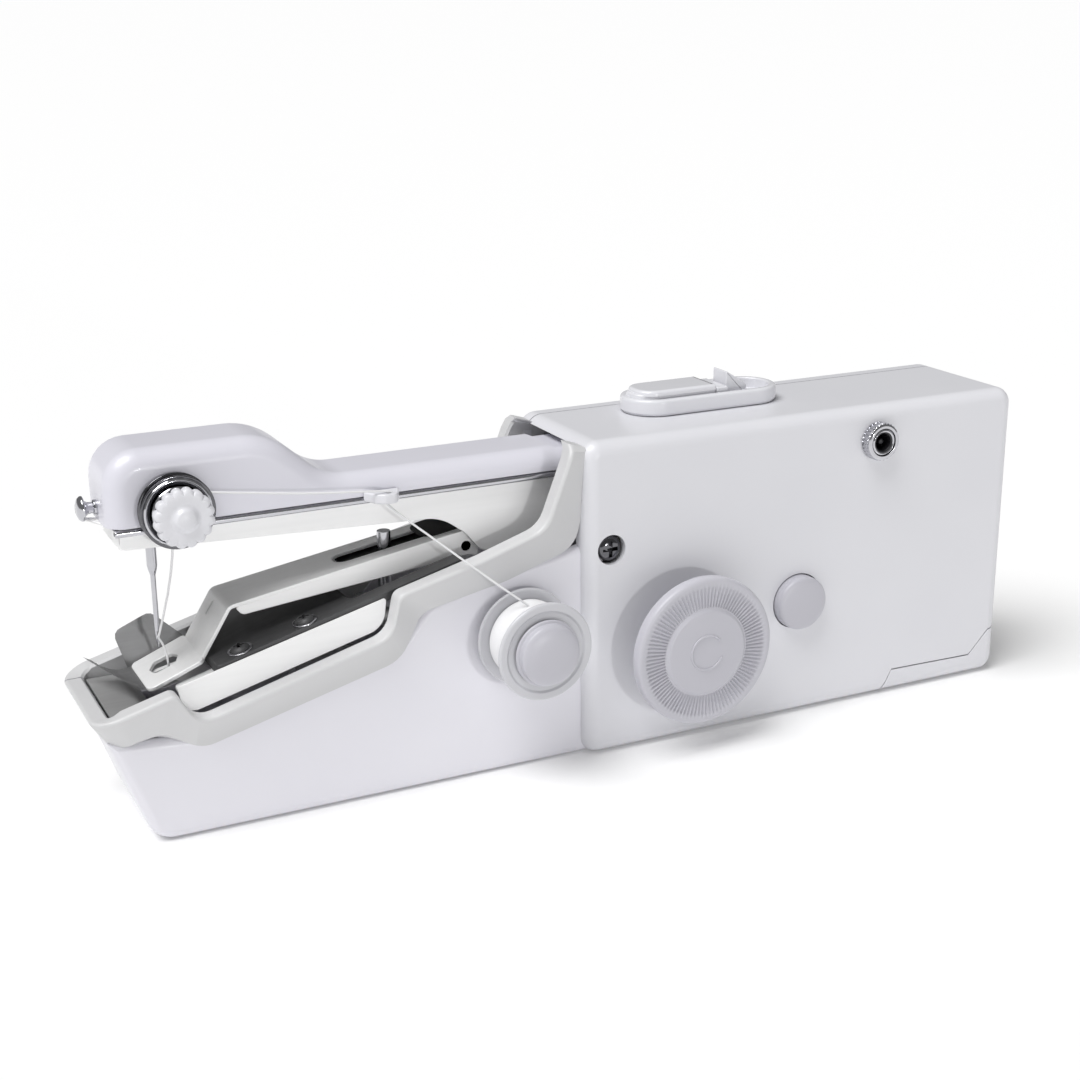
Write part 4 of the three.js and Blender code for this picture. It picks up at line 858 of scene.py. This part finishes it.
def sheetFromGrid(bm, rows, thickness):
    levels = [[bm.verts.new(Vector(p) * mm) for p in row] for row in rows]
    faces = []
    for a, b in zip(levels, levels[1:]):
        for i in range(len(a) - 1):
            faces.append(bm.faces.new((a[i], a[i + 1], b[i + 1], b[i])))
    bmesh.ops.solidify(bm, geom=faces, thickness=thickness * mm)


presser = {"half": 6.2, "footHalf": 7.5, "sheet": 0.8, "toe": (-91.4, 28.0), "heel": (-80.2, 32.5),
           "knee": (-74.4, 41.8),
           "tail": (-22.4, 50.2), "slot": (-48.9, -33.0), "slotHalf": 2.6}


def makeFootLeaves(foot):  # toe leaf and side wing, thin and curved
    bm = bmesh.new()
    near, far = (-91.0, -foot + 1.2, 28.5), (-91.3, foot - 0.3, 28.5)
    rows = []
    for i in range(1, 17):
        t = i / 16
        row = []
        for k in range(13):
            s = k / 12
            reach = 8.9 * t ** 0.7 * s
            row.append((near[0] + (far[0] - near[0]) * t - reach,
                        near[1] + (far[1] - near[1]) * t + 2.4 * s * t,
                        near[2] - 0.9 * math.sin(math.pi * min(1, s * 1.2)) * t + 2.6 * s * s * t))
        rows.append(row)
    sheetFromGrid(bm, rows, 0.4)
    high = filletPath([(-92.4, 28.9, 0), (-94.2, 35.4, 1.6), (-86.6, 38.4, 2.0), (-80.9, 33.2, 0)], 6,
                      closed=False)
    edgeRuns = [0]
    for a, b in zip(high, high[1:]):
        edgeRuns.append(edgeRuns[-1] + math.dist(a, b))
    rows = []
    for i in range(25):
        t = i / 24
        j = max(0, min(len(high) - 2, sum(1 for run in edgeRuns if run <= t * edgeRuns[-1]) - 1))
        u = (t * edgeRuns[-1] - edgeRuns[j]) / (edgeRuns[j + 1] - edgeRuns[j])
        top = (high[j][0] + (high[j + 1][0] - high[j][0]) * u, high[j][1] + (high[j + 1][1] - high[j][1]) * u)
        low = (-92.2 + 11.2 * t, 28.3 + 4.4 * t)
        row = []
        for k in range(9):
            s = k / 8
            row.append((low[0] + (top[0] - low[0]) * s, foot - 0.4 + 0.3 * (top[1] - low[1]) * s,
                        low[1] + (top[1] - low[1]) * s))
        rows.append(row)
    sheetFromGrid(bm, rows, 0.4)
    # the leaves are greyed for painted shade
    fitPiece(newObject("footLeaves", bm, shadedLeafSteel), "presser", (), 40)


def makeShadeSheet(spots):  # black sheets of painted shade, seen through the slot and at the tail
    dark = bmesh.new()
    run = (spots[3] - spots[2]).normalized()
    lift = Vector((-run.y, run.x))
    sheets = ((-50, -31, -4.8, 4.8, -0.7, 1.5),  # under the slot
              (-33.4, -22.9, -4.2, 5.8, 0.83, 3.2))  # over the tail
    for x0, x1, v0, v1, height, edge in sheets:
        plan = filletPath([(x0, v0, edge), (x1, v0, edge), (x1, v1, edge), (x0, v1, edge)], 6)
        start = len(dark.verts)
        roundedSlab(dark, plan, 0, 0.12, 0.04, axis="z", steps=2)
        dark.verts.ensure_lookup_table()
        for vertex in dark.verts[start:]:
            u = (vertex.co.x / mm - spots[2].x) / run.x
            here = spots[2] + run * u + lift * (height + vertex.co.z / mm)
            vertex.co.x, vertex.co.z = here.x * mm, here.y * mm
    fitPiece(newObject("leverShadeSheet", dark, shadeBlack), "presser", (), 40)


def makePresser():
    p = presser
    spots = [Vector(p[k]) for k in ("toe", "heel", "knee", "tail")]
    runs = [0]
    for a, b in zip(spots, spots[1:]):
        runs.append(runs[-1] + (b - a).length)
    foot, half = p["footHalf"], p["half"]
    outline = filletPath([(0, -foot, 1.8), (runs[1] - 0.7, -foot, 1.2), (runs[1] + 0.2, -half, 0.3),
                          (runs[3], -half, 0.5),
                          (runs[3], half, 0.5), (runs[1] + 0.2, half, 0.3), (runs[1] - 0.7, foot, 1.2),
                          (0, foot, 1.8)], 6)
    hole = filletPath([(2.9, -2.2, 1.1), (7.2, -2.5, 1.4), (8.5, 0.2, 1.0), (7.6, 2.6, 1.2), (4.0, 2.9, 1.2),
                       (2.4, 0.6, 1.2)], 6)
    share = (runs[3] - runs[2]) / (spots[3].x - spots[2].x)
    slotFrom, slotTo = (runs[2] + (x - spots[2].x) * share for x in p["slot"])
    slot = filletPath([(slotFrom - 2.6, -p["slotHalf"], 2.5), (slotTo + 2.6, -p["slotHalf"], 2.5),
                       (slotTo + 2.6, p["slotHalf"], 2.5), (slotFrom - 2.6, p["slotHalf"], 2.5)], 8)
    bm = flatPattern(outline, [hole[::-1], slot[::-1]], p["sheet"], 0.14)
    line = filletPath([(*p["toe"], 0), (*p["heel"], 0.9), (*p["knee"], 1.3), (*p["tail"], 0)], 6,
                      closed=False)
    cuts = []
    for run in runs[1:3]:
        cuts += [run - 0.9 + 0.15 * k for k in range(13)]
    bendAlong(bm, line, p["sheet"], cuts)
    lever = newObject("presserLever", bm, nickelSteel)

    bm = bmesh.new()
    knee, tail = p["knee"], p["tail"]
    cheek = filletPath([(knee[0] + 0.7, knee[1] + 0.2, 0.5), (knee[0] + 2.2, knee[1] - 1.6, 1.4),
                        (-24.6, 45.3, 2),
                        (-22.4, 44.6, 1.2), (tail[0], tail[1] + 0.4, 0.3)], 6)
    for low, high in ((-half, -half + p["sheet"]), (half - p["sheet"], half)):
        roundedSlab(bm, cheek, low, high, 0.2, steps=3)
    # pressed slot on the riser
    up = (spots[2] - spots[1]).normalized()
    a, b = spots[1] + up * 6.8, spots[1] + up * 9.6
    out = Vector((-up.y, up.x)) * (p["sheet"] - 0.02)
    for _ in range(2):  # drawn twice in one place, which is what makes the mark dark
        wire(bm, [(a.x + out.x, 1.9, a.y + out.y), (b.x + out.x, 1.7, b.y + out.y)], 0.22, steps=2)
    makeFootLeaves(foot)
    makeShadeSheet(spots)
    spare = newObject("spare lever parts", bm, nickelSteel)
    whole = bmesh.new()
    for part in (lever, spare):
        whole.from_mesh(part.data)
        bpy.data.objects.remove(part)
    fitPiece(newObject("presserLever", whole, nickelSteel), "presser", ["presser_lever"], 40)


def makePlate():
    outline = filletPath([(-79.3, -11.6, 0.8), (-28, -11.6, 0.8), (-28, -7.8, 0.8), (-51, -7.8, 1.2),
                          (-51, 7.8, 1.2),
                          (-28, 7.8, 0.8), (-28, 11.6, 0.8), (-79.3, 11.6, 0.8)], 5)
    bm = bmesh.new()
    roundedSlab(bm, outline, -plate["thick"], 0, 0.22, axis="z", steps=3)
    for vertex in bm.verts:
        vertex.co.z += plateAt(vertex.co.x / mm) * mm
    fitPiece(newObject("needlePlate", bm, blackSteel), "housing", ["needle_plate"], 40)

    # bright strip behind the dip in the rim
    strip = filletPath([(-87.3, 30.2, 0.6), (-86.1, 24.3, 4.6), (-45.6, 35.1, 5.4), (-44.9, 41.2, 0.5)], 8)
    bm = bmesh.new()
    roundedSlab(bm, strip, -12.1, -11.75, 0.1, steps=2)
    tray = filletPath([(-86.5, -11.9, 1), (-46, -11.9, 1), (-46, -6.6, 1), (-86.5, -6.6, 1)], 4)
    start = len(bm.verts)
    roundedSlab(bm, tray, -3.0, -2.2, 0.2, axis="z", steps=2)
    bm.verts.ensure_lookup_table()
    for vertex in bm.verts[start:]:
        vertex.co.z += plateAt(vertex.co.x / mm) * mm
    fitPiece(newObject("looperTray", bm, nickelSteel), "housing", ["looper_tray"], 40)

    bm = flatPattern([(0, -11.6), (19.5, -11.6), (19.5, 11.6), (0, 11.6)], [], 0.6, 0.1)
    bendAlong(bm, filletPath([(-99.6, 25.0, 0), (-93.5, 25.0, 2.5), (-89.6, 21.4, 3), (-88.6, 13, 0)], 8,
                             closed=False), 0.6,
              [0.5 * k for k in range(1, 39)])
    fitPiece(newObject("nosePlate", bm, brushedZinc), "housing", ["nose_plate"], 40)


makePresser()
makePlate()
print("presser lever and plates made")


# Switch on the roof

switch = {"front": 16.0, "rear": 53.0, "y": 3.0, "half": 7.0, "low": 68.15, "top": 71.6}


def stadiumLine(front, rear, y, half, steps=20):
    line = []
    for k in range(steps + 1):
        angle = -math.pi / 2 + math.pi * k / steps
        line.append((rear - half + half * math.cos(angle), y + half * math.sin(angle)))
    for k in range(steps + 1):
        angle = math.pi / 2 + math.pi * k / steps
        line.append((front + half + half * math.cos(angle), y + half * math.sin(angle)))
    return line


def stackedRings(bm, line, levels):
    bridgeRings(bm, [[(x, y, z) for x, y in insetPath(line, shrink)] for shrink, z in levels])


def makeSwitch():
    s = switch
    line = stadiumLine(s["front"], s["rear"], s["y"], s["half"])
    top = s["top"]
    bm = bmesh.new()
    stackedRings(bm, line, [(0.45, s["low"]), (0.45, 68.6), (0.0, 68.7), (0.0, top - 0.7), (0.12, top - 0.3),
                            (0.35, top - 0.1),
                            (0.65, top), (1.3, top), (1.5, top - 0.12), (1.6, top - 0.4), (1.65, top - 2.2),
                            (2.2, top - 2.3)])
    fitPiece(newObject("switchBase", bm, switchAbs), "housing", ["switch_base"], 40)

    y = s["y"]
    plan = filletPath([(17.9, y - 5.0, 4.2), (36.4, y - 5.0, 0.8), (36.4, y + 5.0, 0.8),
                       (17.9, y + 5.0, 4.2)], 8)
    bm = bmesh.new()
    stackedRings(bm, plan, [(0.35, 70.7), (0.35, 71.9), (0.2, 72.0), (0.2, 72.6), (0.35, 72.95), (0.7, 73.15),
                            (1.1, 73.2)])
    step = filletPath([(17.5, y - 3.6, 3.2), (22.5, y - 3.6, 0.5), (22.5, y + 3.6, 0.5),
                       (17.5, y + 3.6, 3.2)], 8)
    stackedRings(bm, step, [(0.2, 70.7), (0.0, 70.9), (0.0, 72.0), (0.2, 72.3), (0.5, 72.4)])
    ledge = filletPath([(36.2, y - 4.6, 0.4), (39.3, y - 4.6, 0.6), (39.3, y + 4.6, 0.6),
                        (36.2, y + 4.6, 0.4)], 6)
    stackedRings(bm, ledge, [(0.1, 70.7), (0.0, 70.9), (0.0, 72.1), (0.15, 72.35), (0.4, 72.45)])
    block(bm, (26, y - 1.6, 67.1), (32, y + 1.6, 70.8))
    fitPiece(newObject("powerButton", bm, switchAbs), "power_button", ["power_button"], 40)

    wedge = filletPath([(39.7, 69.5, 0.2), (45.0, 69.5, 0.2), (45.0, 71.7, 0.5), (44.4, 72.4, 0.5),
                        (39.7, 75.35, 0.25)], 5)
    bm = bmesh.new()
    roundedSlab(bm, wedge, y - 2.7, y + 2.7, 0.3, steps=3)
    block(bm, (37.5, y - 1.6, 67.1), (38.7, y + 1.6, 69.9))
    fitPiece(newObject("switchLock", bm, switchAbs), "switch_lock", ["switch_lock"], 40)


# Power inlet: knurled nut round a black socket

inlet = {"centre": (68, -16.6, 60.4), "nut": 4.2, "hole": 1.92, "knurls": 30}


def makeInlet():
    n = inlet

    def knurled(angle, radius, out):
        return (radius - 0.3 * abs(math.sin(n["knurls"] * angle / 2)) if radius > 4.0 else radius), out

    bm = bmesh.new()
    turnedBody(bm, [(3.05, 0.1), (4.0, 0.1, 0.1), (n["nut"], 0.4, 0.1), (n["nut"], 2.0, 0.1),
                    (3.95, 2.4, 0.1), (3.6, 2.6, 0.1),
                    (3.05, 2.6, 0.1), (3.05, 0.1)], n["centre"], n["knurls"] * 8, wave=knurled)
    fitPiece(newObject("inletNut", bm, polishedSteel), "housing", ["jack_nut"], 45)
    bm = bmesh.new()
    turnedBody(bm, [(0.65, -2.0), (0.65, 1.4, 0.3), (0, 1.6)], n["centre"], 32)
    turnedBody(bm, [(n["hole"], -3.5), (n["hole"], 2.2, 0.15), (2.2, 2.45, 0.15), (2.9, 2.45, 0.15),
                    (2.9, -3.5), (n["hole"], -3.5)],
               n["centre"], 64)
    fitPiece(newObject("inletSocket", bm, blackAbs), "housing", ["dc_jack"], 45)
    bm = bmesh.new()
    turnedBody(bm, [(2.25, 2.42), (2.55, 2.62, 0.1), (2.85, 2.42), (2.25, 2.42)], n["centre"], 64)
    fitPiece(newObject("inletRing", bm, polishedSteel), "housing", (), 45)


# Threads and the guide on the arm

def makeThreads():
    bm = bmesh.new()
    loop = filletPath([(-47.6, -8.9, 0), (-46.3, -11.9, 1.0), (-44.6, -13.0, 1.2), (-42.2, -13.0, 1.4),
                       (-41.2, -11.2, 1.0),
                       (-40.4, -8.9, 0)], 6)
    roundedSlab(bm, loop, 60.3, 62.3, 0.4, axis="z", steps=4)
    guide = newObject("threadGuide", bm, whiteAbs)
    bm = bmesh.new()
    addTurned(bm, [(0, 4), (0.75, 4), (0.75, -4), (0, -4)], (-43.6, -11.6, 61.3), (0, 0, 1), 32)
    carve(guide, newObject("eye", bm, None))
    fitPiece(guide, "upper_arm", ["thread_guide"], 40)

    bm = bmesh.new()
    wire(bm, [(-18.3, -21, 37.9), (-25.2, -18.4, 43.6), (-34.0, -15.2, 51.2), (-43.3, -11.7, 59.4),
              (-43.6, -11.6, 61.2)],
         0.2, sides=10, plies=3, pitch=1.4, steps=14)
    lead = newObject("leadThread", bm, polyesterThread)
    fitPiece(lead, ("housing", "upper_arm", (-18.3, -21, 37.9), (-43.4, -11.7, 60.4)),
             ["lead_thread"], 60)
    bm = bmesh.new()
    wire(bm, [(-43.7, -11.6, 61.2), (-43.9, -11.8, 62.6), (-60, -11.9, 64.4), (-78.9, -11.0, 66.9),
              (-83, -10.4, 66.9),
              (-85.8, -10.4, 66.0), (-86.7, -10.4, 64.0), (-86.0, -10.4, 61.2), (-85.5, -9.4, 56.4),
              (-85.3, -2.6, 46.2),
              (-87.2, -1.0, 37.6), (-87.5, -0.75, 36.6), (-86.7, -0.9, 34.8), (-86.2, -1.2, 32.4),
              (-85.9, -1.1, 28.2)],
         0.2, sides=10, plies=3, pitch=1.4, steps=10)
    fitPiece(newObject("needleThread", bm, polyesterThread),
             ("upper_arm", "housing", (-87.2, -0.9, 36.4), (-85.9, -1.1, 28.6)), ["needle_thread"],
             60)


def makeNeedle():
    bm = bmesh.new()
    addTurned(bm, [(0, 13), (0.9, 13, 0.1), (1.0, 12.6), (1.0, -2.6), (0.8, -3.6, 0.3), (0.5, -4.6, 0.5),
                   (0.5, -15.2),
                   (0.42, -17.4), (0.12, -19.2), (0, -19.4)], (-87.4, 0, 53.5), (0, 0, 1), 32)
    needle = newObject("needle", bm, polishedSteel)
    bm = bmesh.new()
    block(bm, (-87.62, -1, 36.2), (-87.18, 1, 37.6))
    carve(needle, newObject("eyeHole", bm, None))
    fitPiece(needle, "upper_arm", ["needle"], 40)


makeSwitch()
makeInlet()
makeThreads()
makeNeedle()
print("switch, inlet, threads and needle made")


# The frame's own nodes that stay: their split vertices are welded and edges get a small radius
for name, node in nodes.items():
    if node.hide_render:
        continue
    if "custom_normal" in node.data.attributes:
        node.data.attributes.remove(node.data.attributes["custom_normal"])
    node.data.shade_smooth()
    weld = node.modifiers.new("join", "WELD")
    weld.merge_threshold = 0.002 * mm
    flat = node.modifiers.new("flat faces", "DECIMATE")
    flat.decimate_type = "DISSOLVE"
    flat.angle_limit = math.radians(0.5)
    soft = node.modifiers.new("soft edges", "BEVEL")
    soft.width = 0.12 * mm
    soft.segments = 2
    soft.limit_method = "ANGLE"
    soft.angle_limit = math.radians(40)
    soft.harden_normals = True
print("frame nodes softened")
